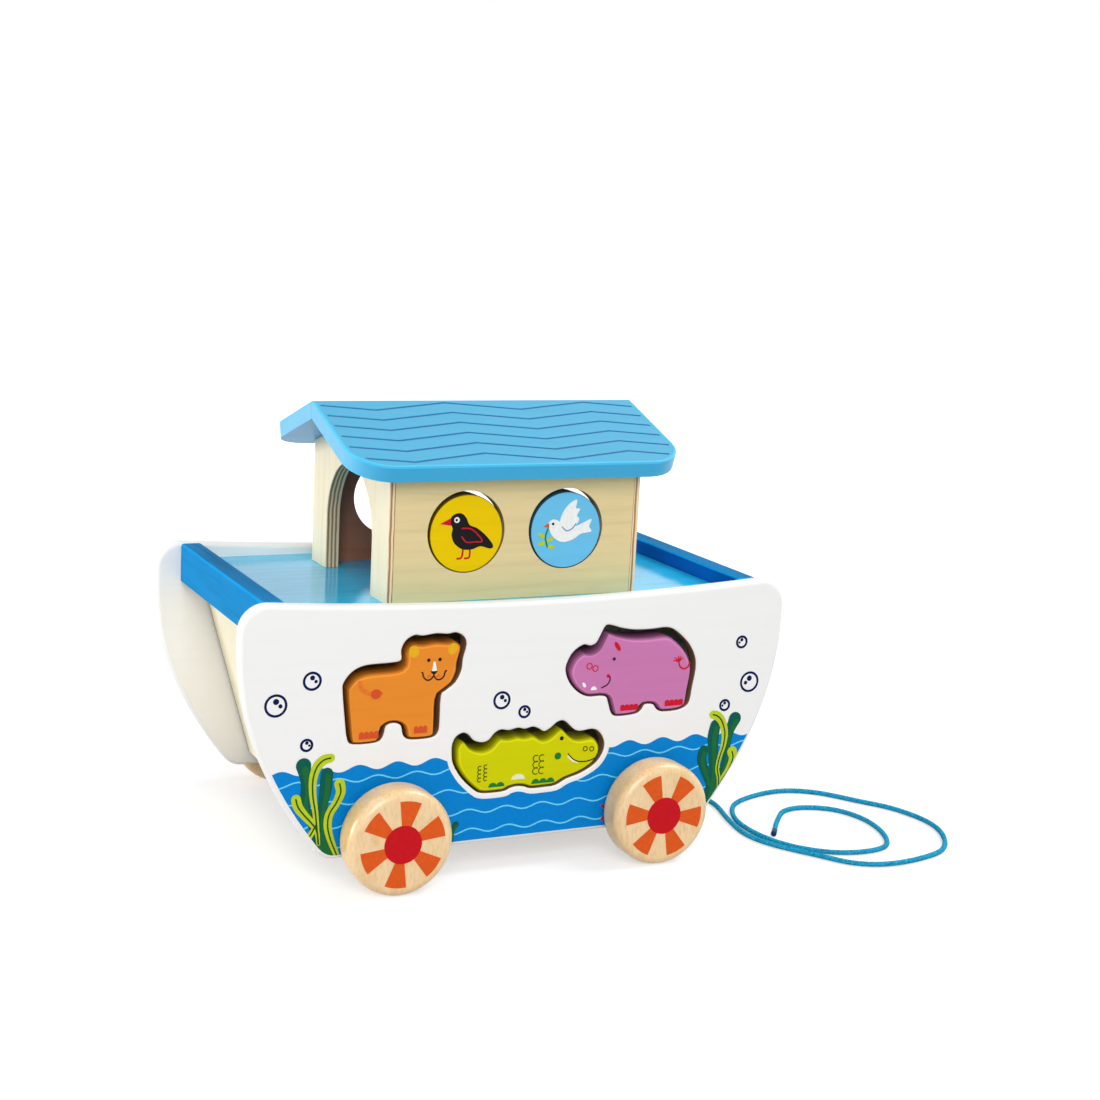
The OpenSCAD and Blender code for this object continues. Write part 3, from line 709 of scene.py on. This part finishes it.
# Light fronds with a dark vein, in the same way
FRONDS = [
    ([(-104.6, 66.6), (-108.2, 65.8), (-111.6, 62.4), (-113.4, 56), (-113.2, 48), (-111.8, 40), (-110.8, 32),
      (-109.8, 23)], [4.4, 5, 4.8, 4.2, 3.6, 3, 2.6, 1.6]),
    ([(-121.8, 47), (-120.6, 43), (-117.4, 38.6), (-113.4, 34), (-110.8, 30), (-109.6, 23)],
     [5, 4.8, 4.2, 3.6, 2.8, 1.6]),
    ([(-117.5, 24), (-114, 28), (-111, 33.4)], [3.4, 3.2, 2]),
    ([(-99.6, 53), (-98.9, 48.6), (-101, 43.4), (-104.4, 38), (-105.2, 32), (-103.6, 25), (-100, 16)],
     [5.4, 5, 4.4, 4.4, 4.2, 3.6, 2.8]),
    ([(111.2, 71.8), (114.2, 70.6), (117, 67.4), (119.2, 61), (118.8, 54), (116.8, 47), (116, 41),
      (117.2, 36), (117.4, 31)], [4.6, 5, 4.6, 4, 3.2, 2.6, 2.4, 2.2, 1.8]),
    ([(124.6, 50), (125.4, 46), (123, 40), (119.4, 34.6), (117.2, 30)], [6, 5, 4, 3.2, 1.8]),
]
VEIN_WIDTH = 0.8
# Lighter core of the weed, in shares of its width: how wide, and how far aside and down it lies
WEED_CORE = 0.45
WEED_CORE_SHIFT = 0.12
WEED_CORE_DROP = 0.25
# Starfish behind the bow wheel: middle, reach and number of arms, and their widths
STAR = (52.2, 23.3)
STAR_R = 6.4
STAR_N = 5
STAR_WIDTHS = [3.4, 1.6]

# Bubbles on the sorter side: middle and radius
BUBBLES = [
    (-133, 95, 5.8), (-115, 106, 4.8), (-117, 74, 3.4), (-14, 89, 4.8), (-1, 82, 3.5),
    (126, 111, 3.6), (132.5, 88.5, 5.8), (118, 76.5, 3.4),
]
# Bubbles on the door side, as seen from outside
DOOR_BUBBLES = [
    (-126, 94.5, 3.7), (-133.4, 71, 6), (-97.4, 63, 3.5), (-70.3, 62.4, 3.4), (-50.4, 66.3, 5.8),
    (58.9, 65.3, 5.7), (82.3, 62.4, 3.3), (127, 83, 5.7),
]
BUBBLE_LINE = 1.25
# A bubble's two dots, in shares of its radius: how far to the right and up, and their own radius
BUBBLE_DOTS = ((0.02, 0.34, 0.26), (0.4, -0.06, 0.18))
# Bubbles further right than this have their dots turned to the left
BUBBLE_FLIP = 100.0

# Painted rings round the portholes: their middles and radii, and the rivets on them
PORTHOLES = [(-88, 103), (88, 103)]
RING_OUT = 21.4
RING_IN = 15.2
RIVET_DEGREES = range(18, 360, 36)
RIVET_R = 0.9


def swell(u, crest, length, rise):
    return rise * cos(2 * pi * (u - crest) / length)


def sea_shape(half_length, drop):
    """Everything below the waves, whose row breaks off in the middle unless the sea is dropped."""
    waves = []
    for step in range(int(-2 * half_length), int(2 * half_length) + 1):
        u = step / 2
        crest = WAVE_CRESTS[0] if u < 0 or drop else WAVE_CRESTS[1]
        waves.append((u, WAVE_TOP - drop + swell(u, crest, WAVE_LENGTH, WAVE_RISE)))
    return [(half_length, 0), *reversed(waves), (-half_length, 0)]


def ripple_lines(half_length, drop):
    lines = []
    for height, left, right in RIPPLES:
        right = left if drop else right
        for low, high, crest in ((-half_length, 0, left), (0, half_length, right)):
            places = spaced(low, high, RIPPLE_STEPS)
            line = [(u, height - drop + swell(u, crest, RIPPLE_LENGTH, RIPPLE_RISE)) for u in places]
            lines.append(stroke(line, RIPPLE_WIDTH, steps=1))
    return lines


def print_sea(side, face, within, holes=(), drop=0):
    reach = max(abs(p[0]) for p in within) + SEA_PAST
    print_on(f"sea_{side}", face, "water", 0, [sea_shape(reach, drop)], holes, within)
    print_on(f"ripples_{side}", face, "ripple", 1, ripple_lines(reach, drop), holes, within)


def print_weed(side, face, within, weeds):
    cores = []
    for points, widths in weeds:
        line = [(u + WEED_CORE_SHIFT * w, v - WEED_CORE_DROP * w) for (u, v), w in zip(points, widths)]
        cores.append((line, scaled(widths, WEED_CORE)))
    veins = [(points, VEIN_WIDTH) for points, _ in FRONDS]
    films = [("weed", "weed", weeds), ("weed_cores", "weed_light", cores), ("fronds", "frond", FRONDS),
             ("veins", "vein", veins)]
    for layer, (part, colour, lines) in enumerate(films, 2):
        print_on(f"{part}_{side}", face, colour, layer, [stroke(*line) for line in lines], (), within)


def print_bubbles(side, face, bubbles):
    """Rings with two dots each."""
    rings = [disc(u, v, r) for u, v, r in bubbles]
    inner = [disc(u, v, r - BUBBLE_LINE) for u, v, r in bubbles]
    dots = []
    for u, v, r in bubbles:
        aside = -r if u > BUBBLE_FLIP else r
        dots += [disc(u + right * aside, v + up * r, share * r) for right, up, share in BUBBLE_DOTS]
    print_on(f"bubbles_{side}", face, "navy", 0, rings, inner)
    print_on(f"bubble_dots_{side}", face, "navy", 0, dots)


def print_side(side, face, outline, hole, weeds, bubbles, drop=0):
    """One side of the hull, with water that stays clear of a hole."""
    within = grown(outline, -SEA_MARGIN)
    print_sea(side, face, within, [hole], drop)
    print_weed(side, face, within, weeds)
    print_bubbles(side, face, bubbles)


outline, *openings = face_loops("side_panel_sorter", SORTER_FACE)
# The lowest of the three animals' holes
hole = min(openings[:3], key=lambda loop: min(point.y for point in loop))
print_side("sorter", SORTER_FACE, outline, grown(hole, HOLE_MARGIN), WEEDS, BUBBLES)
tips = arc(*STAR, STAR_R, STAR_R, spaced(0, 360, STAR_N)[:-1])
print_on("starfish", SORTER_FACE, "red", 2, [stroke([STAR, tip], STAR_WIDTHS) for tip in tips])

outline, opening, *_ = face_loops("side_panel_door", DOOR_FACE)
hole = grown(opening, DOOR_MARGIN)
print_side("door_side", DOOR_FACE, outline, hole, WEEDS[:-1], DOOR_BUBBLES, DOOR_SEA_DROP)
reach = (RING_OUT + RING_IN) / 2
rivets = [place for u, v in PORTHOLES for place in arc(u, v, reach, reach, RIVET_DEGREES)]
print_on("porthole_rings", DOOR_FACE, "ring", 0, discs(PORTHOLES, RING_OUT), discs(PORTHOLES, RING_IN))
print_on("porthole_rivets", DOOR_FACE, "white", 1, discs(rivets, RIVET_R))
door, *_ = face_loops("ramp_door", DOOR_FACE)
print_sea("door", DOOR_FACE._replace(body="door"), grown(door, -DOOR_MARGIN), (), DOOR_SEA_DROP)


# Pictures on the loose pieces, in millimetres from the middle of the piece's face

LINE = 0.7
FINE_LINE = 0.55

BEAR_EYES = [(12.1, 15.7), (18.1, 15.7)]
BEAR_NOSE = [(13.4, 9.9), (15.2, 9.9), (17, 9.9), (16.4, 9), (15.2, 8.2), (14, 9)]
BEAR_BRIDGE = [(14.8, 14.7), (15.7, 14.7), (16.8, 9.7), (14, 9.7)]
BEAR_MOUTH = [
    [(8.7, 9.6), (9.2, 9.3), (9.7, 7.2), (11.4, 5.6), (13.3, 5.7), (15.1, 7.5)],
    [(15.1, 7.5), (16.8, 5.6), (18.7, 5.5), (20.5, 6.9), (21.1, 9.2), (21.8, 9.7)],
    [(15.2, 8.6), (15.1, 7.4)],
]
BEAR_WHISKERS = [(12.6, 7.8), (13.3, 7.2), (12.1, 7), (17.6, 7.8), (18.4, 7.2), (17.1, 7)]
BEAR_TAIL = [(-23.7, 6.5), (-22.4, 3.2), (-18.6, 0.8)]

HIPPO_NOSTRILS = [(-25.2, 5.5), (-21.7, 4.1)]
HIPPO_TAIL = [(27.8, 4.6), (28.5, 2.1), (30.8, 0.5), (33.4, 1.3), (34.5, 3.3)]
HIPPO_TUFT = [(24.5, 5.3), (25.2, 6.9), (27.4, 7.6), (28.9, 7.3), (30.2, 6.4)]
HIPPO_SMILE = [(-13.3, -0.5), (-12.8, -1.5), (-13, -3.3), (-14.5, -5.2), (-17.3, -6.4)]

CROC_NOSTRILS = [(32, 3.5), (35.8, 3.1)]
CROC_SMILE = [
    (22.2, 1.6), (23.5, 0.1), (25.8, -1.9), (28.8, -3.1), (32.2, -3.4), (35.5, -2.9), (38.2, -2.1),
]
CROC_TEETH = [(22.6, 0.2), (24.8, -2.2), (28, -3.8)]
# Scale marks: column, height of the lowest one, radius and number of rows
CROC_SCALES = [(3.9, -6.1, 1.7, 3), (7.3, -6.1, 1.7, 3), (-27.6, -8, 1.05, 4), (-24.3, -7.6, 1.05, 4)]
SCALE_DEGREES = range(60, 301, 40)

RAVEN_BODY = [
    (-9.5, 6.5), (-7.5, 9.8), (-3.5, 10.6), (-0.5, 8.2), (1.5, 4.5), (6, 2.5), (11, -1.5), (15, -6.5),
    (13.5, -8.2), (8, -6.8), (3.5, -8.2), (-2, -8), (-6.5, -4.8), (-8.2, -0.5), (-7.8, 3),
]
RAVEN_BEAK = [(-9, 8.2), (-14.6, 5.4), (-8.8, 4.4)]
RAVEN_WING = [(-2.5, 2.8), (2.2, 2.4), (6.4, -0.8), (8.8, -4.2), (4.8, -4.4), (0.2, -4.4), (-2.6, -1.6)]
RAVEN_LEGS = [[(-1.6, -7.6), (-2.2, -12.2), (-4.6, -12.8)], [(2.2, -7.8), (2, -12.2), (-0.4, -12.8)]]

DOVE_BODY = [
    (-10.5, 3.2), (-8.4, 5.6), (-5.4, 5.4), (-2, 3), (4, 1.5), (9.5, 3.4), (14.6, 5.4), (13.4, 1.6),
    (14.8, -1.2), (9, -2.2), (4, -5.2), (-2, -6.2), (-7, -3.6), (-9.4, 0.2),
]
DOVE_WING = [
    (-3.5, 1.5), (-3, 7.5), (0.5, 13), (5.5, 16), (5.2, 11.5), (7.6, 11), (6, 7.5), (7.4, 5.6), (4.8, 1.2),
    (1, -1),
]
DOVE_FOLD = [(-2.2, 1.6), (0.4, -0.4), (3.4, 0.6), (5.6, 3.2)]
DOVE_BEAK = [(-9.9, 3.9), (-13.2, 2.2), (-9.8, 1.4)]
DOVE_TWIG = [(-10, 1.6), (-11.6, -3.4), (-10.2, -8.6)]
DOVE_LEAVES = [(-14, -2.4, 150), (-8.9, -4.6, 30), (-13.6, -6.6, 200), (-8, -8.6, -10)]
BIRD_STEPS = 5

bear_toes = toes(-23.3, -13.1, -22.2, 1.9, 1.8, 4) + toes(5.6, 12.7, -21.5, 1.9, 1.8, 3)
bear_lines = [stroke(points, LINE) for points in BEAR_MOUTH]
print_picture(
    "bear", face_of("bear", "bear_piece"),
    ("ears", "gold", 0, [oval(4.1, 20.5, 5.4, 6.2, 20), oval(24.8, 20.7, 5, 6, -20)]),
    ("tail_shade", "tail", 0, [stroke(BEAR_TAIL, 2.2)]),
    ("marks", "rust", 1, [oval(-15.1, 0.2, 5.6, 5), oval(-12.4, 0.5, 1.6, 1.2), *bear_toes]),
    ("whiskers", "rust", 0, discs(BEAR_WHISKERS, 0.32)),
    ("bridge", "white", 0, [BEAR_BRIDGE]),
    ("face", "black", 1, [smooth(BEAR_NOSE, 4, closed=True), *bear_lines, *discs(BEAR_EYES, 0.9)]),
)

hippo_tail = [stroke([(27.7, 4.8), tip], [1.1, 0.5]) for tip in HIPPO_TUFT] + [stroke(HIPPO_TAIL, 0.9)]
hippo_toes = toes(-5.7, 4.7, -19.9, 2.1, 1.2, 4) + toes(20.8, 31.8, -19.3, 2.1, 1.2, 4)
hippo_ear = oval(-9.4, 15.1, 5.9, 2.4, -56)
print_picture(
    "hippo", face_of("hippopotamus", "hippopotamus_piece"),
    ("nostrils", "red", 0, discs(HIPPO_NOSTRILS, 1.8), discs(HIPPO_NOSTRILS, 1.8 - FINE_LINE)),
    ("marks", "red", 0, [hippo_ear, disc(-14, -0.4, 0.95), *hippo_tail, *hippo_toes]),
    ("smile", "plum", 1, [stroke(HIPPO_SMILE, LINE), disc(-11, 8.5, 0.9)]),
    ("teeth", "white", 0, [oval(-27.7, -4.3, 3, 1.7, -58), half_oval(-22, -7.4, 3.5, 2)]),
)

croc_scales = [
    stroke(arc(u, low + 2 * radius * k, radius, radius, SCALE_DEGREES), FINE_LINE, steps=2)
    for u, low, radius, rows in CROC_SCALES for k in range(rows)
]
croc_toes = toes(-22.2, -13.6, -12.5, 0, 2.4, 2) + toes(2, 14.8, -12.9, 0, 2.6, 3)
croc_belly = half_oval(-5.9, -9.6, 7.8, 2.9)
print_picture(
    "croc", face_of("crocodile", "crocodile_piece"),
    ("nostrils", "olive", 0, discs(CROC_NOSTRILS, 1.45), discs(CROC_NOSTRILS, 1.45 - FINE_LINE)),
    ("scales", "olive", 0, croc_scales),
    ("marks", "green", 0, [disc(16.3, 0.9, 1.9), *croc_toes]),
    ("pale_marks", "pale", 0, [croc_belly, stroke(CROC_TEETH, [1.5, 1.1, 0.4])]),
    ("face", "black", 1, [stroke(CROC_SMILE, FINE_LINE), disc(18, 10.3, 1.1)]),
)

print_picture(
    "raven", face_of("raven_disc", "raven_piece"),
    ("legs", "red", 0, [stroke(leg, 1) for leg in RAVEN_LEGS]),
    ("bird", "black", 1, [smooth(RAVEN_BODY, BIRD_STEPS, closed=True)]),
    ("beak", "red", 2, [RAVEN_BEAK]),
    ("wing", "red", 2, [stroke(RAVEN_WING, LINE)]),
    ("eye", "white", 2, [disc(-5.6, 7.2, 1.5)]),
    ("pupil", "black", 3, [disc(-5.8, 7.2, 0.7)]),
)

print_picture(
    "dove", face_of("dove_disc", "dove_piece"),
    ("twig", "green", 0, [stroke(DOVE_TWIG, 0.8)]),
    ("leaves", "leaf", 1, [oval(u, v, 4.2, 2, tilt) for u, v, tilt in DOVE_LEAVES]),
    ("bird", "white", 2, [smooth(shape, BIRD_STEPS, closed=True) for shape in (DOVE_BODY, DOVE_WING)]),
    ("beak", "petal", 3, [DOVE_BEAK]),
    ("wing", "grey", 3, [stroke(DOVE_FOLD, LINE)]),
    ("eye", "black", 3, [disc(-7.6, 3.5, 0.75)]),
)


# Wheels

HUB_R = 9.9
PETAL_IN = 9.0
PETAL_OUT = 22.3
PETAL_N = 6
PETAL_STEPS = 8
# Angle that a petal takes up, in degrees, and of one petal's middle at each end of the hull
PETAL_SPAN = 30
PETAL_STARTS = {"stern": 21, "bow": 53}


def petal(middle):
    """A wedge between two arcs, with its middle at an angle."""
    degrees = spaced(middle - PETAL_SPAN / 2, middle + PETAL_SPAN / 2, PETAL_STEPS)
    outer, inner = (arc(0, 0, radius, radius, degrees) for radius in (PETAL_OUT, PETAL_IN))
    return outer + inner[::-1]


# Cord

# Route of the pull cord: out of the bow end board, down to the floor and round in a spiral
CORD_DROP = [
    (100, 0, 75), (112, 0, 71.6), (121, 0, 68), (129, -0.5, 59), (133.5, -0.6, 44.5), (137.5, -1.7, 25.5),
    (144, -5.4, 11), (150, -16, 2.4),
]
CORD_SPIRAL = [
    (149.5, -32.5), (143.5, -56.5), (140.5, -78.5), (145.5, -97.5), (160.5, -120.5), (172.5, -136.5),
    (188.5, -143.5), (210.5, -142.5), (232.5, -134.5), (247.5, -115.5), (253.5, -93.5), (248.5, -68.5),
    (235.5, -48.5), (220.5, -28.5), (202.5, -19.5), (180.5, -22.5), (160.5, -33.5), (148.5, -54.5),
    (146.5, -78.5), (153.5, -101.5), (168.5, -117.5), (187.5, -123.5), (205.5, -119.5), (216.5, -101.5),
    (220, -78.5), (213.5, -59.5), (198.5, -50), (183.5, -51.5), (170.5, -64.5), (157.5, -81.5),
]
# Height of the cord's middle line where it lies on the floor
CORD_LIE = 1.6
CORD_D = 3.0
CORD_STEPS = 40
CORD_SIDES = 20
STRANDS = 4
STRAND_PITCH = 2.6
STRAND_DEPTH = 0.3
# Knot: lean of the hole's line, radius and length of the cord's middle line, and its turns
KNOT_LEAN = radians(15.8)
KNOT_R = 3.0
KNOT_RUN = 3.0
KNOT_TURNS = 1.5
KNOT_STEPS = 240


def braided_tube(path):
    """A cord along a path, with its surface worked into the diamonds of a braid."""
    form = bmesh.new()
    side = Vector((0, 0, 1)).cross(path[1] - path[0]).normalized()
    run = 0.0
    rings = []
    for i, point in enumerate(path):
        ahead = (path[min(i + 1, len(path) - 1)] - path[max(i - 1, 0)]).normalized()
        side = (side - ahead * side.dot(ahead)).normalized()
        up = ahead.cross(side)
        run += (point - path[i - 1]).length if i else 0.0
        twist = 2 * pi * run / (STRAND_PITCH * MM)
        ring = []
        for angle in spaced(0, 2 * pi, CORD_SIDES)[:-1]:
            relief = sin(STRANDS * angle + twist) * sin(STRANDS * angle - twist)
            reach = (CORD_D - STRAND_DEPTH * (1 - relief)) / 2 * MM
            ring.append(form.verts.new(point + (cos(angle) * side + sin(angle) * up) * reach))
        rings.append(ring)
    for before, after in zip(rings, rings[1:]):
        for j in range(CORD_SIDES):
            form.faces.new((before[j - 1], before[j], after[j], after[j - 1])).smooth = True
    form.faces.new(rings[0][::-1])
    form.faces.new(rings[-1])
    return form


CORD_BRAID = braid()
cord_route = CORD_DROP + [(x, y, CORD_LIE) for x, y in CORD_SPIRAL]
cord_path = [point * MM for point in smooth(cord_route, CORD_STEPS)]
cord = add_piece("braided_cord", braided_tube(cord_path), "hull", CORD_BRAID)
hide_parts("pull_cord")

# A turn and a half of cord round the hole's line, inside the bow end board
low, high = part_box("cord_knot")
out = Vector((cos(KNOT_LEAN), 0, -sin(KNOT_LEAN)))
aside = Vector((0, 1, 0))
up = out.cross(aside)
knot_path = []
for share in spaced(0, 1, KNOT_STEPS):
    turn = 2 * pi * KNOT_TURNS * share
    round_hole = KNOT_R * (cos(turn) * aside + sin(turn) * up)
    knot_path.append((low + high) / 2 + (round_hole + KNOT_RUN * (share - 0.5) * out) * MM)
knot = add_piece("tied_knot", braided_tube(knot_path), "hull", CORD_BRAID)
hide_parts("cord_knot")


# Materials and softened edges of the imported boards

# Degrees from which an edge is rounded, and up to which two faces are one
SHARP = 35
FLAT = 0.5
WELD = 0.01
# Roundings of the side panels, their holes and their axle holes, and of the animals
PANEL_ROUND = 2.4
HOLE_ROUND = 1.4
AXLE_ROUND = 0.4
ANIMAL_ROUND = 2.6
# How far to each side, how low and how high the side panels have holes
PANEL_HOLES = (105.0, 34.0, 134.0)
# Half the frame magnet's outline: distances from its axis, and heights over its box's foot
MAGNET_OUTLINE = [(0.0, -0.12), (2.15, -0.12), (2.38, -0.05), (2.5, 0.15), (2.5, 3.0), (0.0, 3.0)]
MAGNET_STEPS = 40


def dress(node, material, width):
    """Gives a board its material and rounds its sharp edges by a width, without touching its mesh."""
    board = nodes[node]
    board.data.materials.clear()
    board.data.materials.append(material)
    board.modifiers.new("join_corners", "WELD").merge_threshold = WELD * MM
    flat = board.modifiers.new("join_flats", "DECIMATE")
    flat.decimate_type = "DISSOLVE"
    flat.angle_limit = radians(FLAT)
    if width:
        edges = board.modifiers.new("round_edges", "BEVEL")
        edges.width = width * MM
        edges.segments = 3
        edges.limit_method = "ANGLE"
        edges.angle_limit = radians(SHARP)
        edges.use_clamp_overlap = False
        edges.miter_outer = "MITER_ARC"
    board.modifiers.new("even_shading", "WEIGHTED_NORMAL")


panel_radii = [PANEL_ROUND] + [HOLE_ROUND] * 3 + [AXLE_ROUND] * 2
# The sorter side's hole walls take wood darkened as painted shade
for side, face, hole in (("sorter", SORTER_FACE, HOLE_WOOD_AND_SHADE), ("door", DOOR_FACE, PLY)):
    paint = board_paint(f"panel_paint_{side}", WHITE, PALE_CREAM, hole, face.out, PANEL_HOLES)
    rounded_board(f"{side}_side", f"side_panel_{side}", face, panel_radii, paint)
for animal, short, colour in (
    ("bear", "bear", rgb(236, 142, 46)),
    ("hippopotamus", "hippo", rgb(204, 124, 178)),
    ("crocodile", "croc", rgb(211, 211, 0)),
):
    face = face_of(animal, f"{animal}_piece")
    paint = block_paint(f"{short}_paint", colour, ANIMAL_SHADE_AND_HIGHLIGHT)
    rounded_board(f"{animal}_block", animal, face, [ANIMAL_ROUND], paint)

END_PAINT = end_paint()
RAIL_PAINT = rail_paint()
ROOF_PAINT = roof_paint()
DOWEL_WOOD = plain_wood("dowel_beech", rgb(226, 192, 144), rgb(196, 152, 100), GRAIN_Y)
WHEEL_WOOD = plain_wood("wheel_maple", rgb(246, 214, 164), rgb(228, 184, 120), WHEEL_GRAIN, 0.3, 0.9)
MAGNET_PLATE = metal("magnet_nickel", rgb(168, 168, 174), (900, 900, 2600))
for side, out in SIDES:
    wall = f"cabin_wall_{side}"
    dress(wall, plywood(wall, PLY, 1, out, GRAIN_X), 0.3)
    dress(f"roof_board_{side}", ROOF_PAINT, 0.4)
for end, out in ENDS:
    wall = f"cabin_end_{end}"
    dress(wall, plywood(wall, PALE_PLY, 0, out, GRAIN_Z), 0.3)
    dress(f"end_board_{end}", END_PAINT, 0.6)
    dress(f"deck_rail_{end}", RAIL_PAINT, 1.4)
    dress(f"axle_{end}", DOWEL_WOOD, 0)
    petals = [petal(PETAL_STARTS[end] + 360 / PETAL_N * k) for k in range(PETAL_N)]
    for side, way in SIDES:
        wheel = f"wheel_{end}_{side}"
        dress(wheel, WHEEL_WOOD, 0)
        face = face_of(wheel, f"{end}_wheelset", way)
        print_on(f"petals_{wheel}", face, "petal", 0, petals)
        print_on(f"hub_{wheel}", face, "hub", 1, [disc(0, 0, HUB_R)])
dress("ramp_door", board_paint("door_paint", WHITE, PLY, PLY, 1), 0.8)
dress("floor_board", plain_wood("floor_wood", PLY, rgb(206, 172, 116), GRAIN_X), 0.4)
dress("deck_board", painted("deck_glaze", rgb(46, 204, 252), GRAIN_X, 0.12, 0.6), 0.3)
dress("hull_dowels", DOWEL_WOOD, 0)
dress("cabin_dowels", DOWEL_WOOD, 0)
dress("raven_disc", block_paint("raven_disc_paint", rgb(243, 203, 0), DISC_SIDE_SHADE), 0.6)
dress("dove_disc", block_paint("dove_disc_paint", rgb(112, 198, 238), DISC_SIDE_SHADE), 0.6)
dress("door_hinge_pins", metal("pin_steel", rgb(206, 206, 210), (3000, 3000, 3000)), 0.2)
dress("door_magnet", MAGNET_PLATE, 0.15)
dress("cord_tip", painted("cord_seal", rgb(12, 46, 92), EVEN, 0.38, 0.1), 0)

# A plated magnet with a rounded rim, standing a little out of the top of the door opening
low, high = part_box("frame_magnet")
foot = Vector(((low.x + high.x) / 2, (low.y + high.y) / 2, low.z))
form = bmesh.new()
corners = [form.verts.new(foot + Vector((r, 0, h)) * MM) for r, h in MAGNET_OUTLINE]
edges = [form.edges.new(pair) for pair in zip(corners, corners[1:])]
bmesh.ops.spin(
    form, geom=corners + edges, cent=foot, axis=(0, 0, 1), angle=2 * pi, steps=MAGNET_STEPS, use_merge=True,
)
magnet = add_piece("frame_magnet_disc", form, "hull", MAGNET_PLATE)
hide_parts("frame_magnet")


# Stage: floor, light and camera, in metres

FLOOR_CORNERS = [(-6, -6, 0), (6, -6, 0), (6, 6, 0), (-6, 6, 0)]
FLOOR_GREY = (0.6, 0.6, 0.6, 1)
FULL_WHITE = (1, 1, 1, 1)
# Near and far distance on the floor, and its glow there
GLOW = (0.3, 1.4, 0.52, 0.85)
AMBIENT = 0.45
# What the lamps point at
MIDDLE = Vector((0.0, 0.0, 0.12))


def add_aimed(name, data, place, way):
    """A lamp or camera at a place, looking one way."""
    holder = add_object(name, data)
    holder.location = place
    holder.rotation_mode = "QUATERNION"
    holder.rotation_quaternion = way.to_track_quat("-Z", "Y")
    return holder


def add_lamp(name, place, size, power):
    lamp = bpy.data.lights.new(name, "AREA")
    lamp.size = size
    lamp.energy = power
    add_aimed(name, lamp, place, MIDDLE - Vector(place))


# A pale floor that keeps shadows, made white by a glow for the eye alone, stronger far from the lamps
pale = Shading(bpy.data.materials.new("floor_white"))
pale.tree.nodes.clear()
place = [("Vector", pale.add("TexCoord").outputs["Object"])]
away = pale.add("VectorMath", place, operation="LENGTH").outputs["Value"]
glow = pale.times(pale.seen_by_eye(), pale.between(away, *GLOW))
light = pale.add("Emission", [("Color", FULL_WHITE), ("Strength", glow)]).outputs["Emission"]
flat = pale.add("BsdfDiffuse", [("Color", FLOOR_GREY)]).outputs["BSDF"]
both = pale.add("AddShader", [(0, flat), (1, light)]).outputs["Shader"]
pale.add("OutputMaterial", [("Surface", both)])
floor = bpy.data.meshes.new("floor")
floor.from_pydata(FLOOR_CORNERS, [], [(0, 1, 2, 3)])
floor.materials.append(pale.owner)
add_object("floor", floor)

# A world that is white to the eye and gives the object a plain level of light
sky = Shading(bpy.data.worlds.new("studio"))
sky.tree.nodes.clear()
strength = sky.between(sky.seen_by_eye(), 0, 1, AMBIENT, 1)
background = sky.add("Background", [("Color", FULL_WHITE), ("Strength", strength)])
sky.add("OutputWorld", [("Surface", background.outputs["Background"])])
bpy.context.scene.world = sky.owner

add_lamp("key", (-0.7, -1.85, 1.3), 1.2, 24.5)
add_lamp("fill", (-2.05, 0.7, 0.5), 0.8, 22.5)
add_lamp("top", (1.2, -0.1, 1.6), 1.0, 17)

level = cos(ELEVATION)
back = Vector((sin(AZIMUTH) * level, -cos(AZIMUTH) * level, sin(ELEVATION)))
camera_data = bpy.data.cameras.new("camera")
camera_data.sensor_width = SENSOR
camera_data.lens = SENSOR * FOCAL_PER_FRAME
camera = add_aimed("camera", camera_data, LOOK_AT + back * DISTANCE, -back)
roll = Matrix.Rotation(ROLL, 3, "Z").to_quaternion()
camera.rotation_quaternion = camera.rotation_quaternion @ roll
bpy.context.scene.camera = camera
bpy.context.scene.view_settings.view_transform = "Standard"
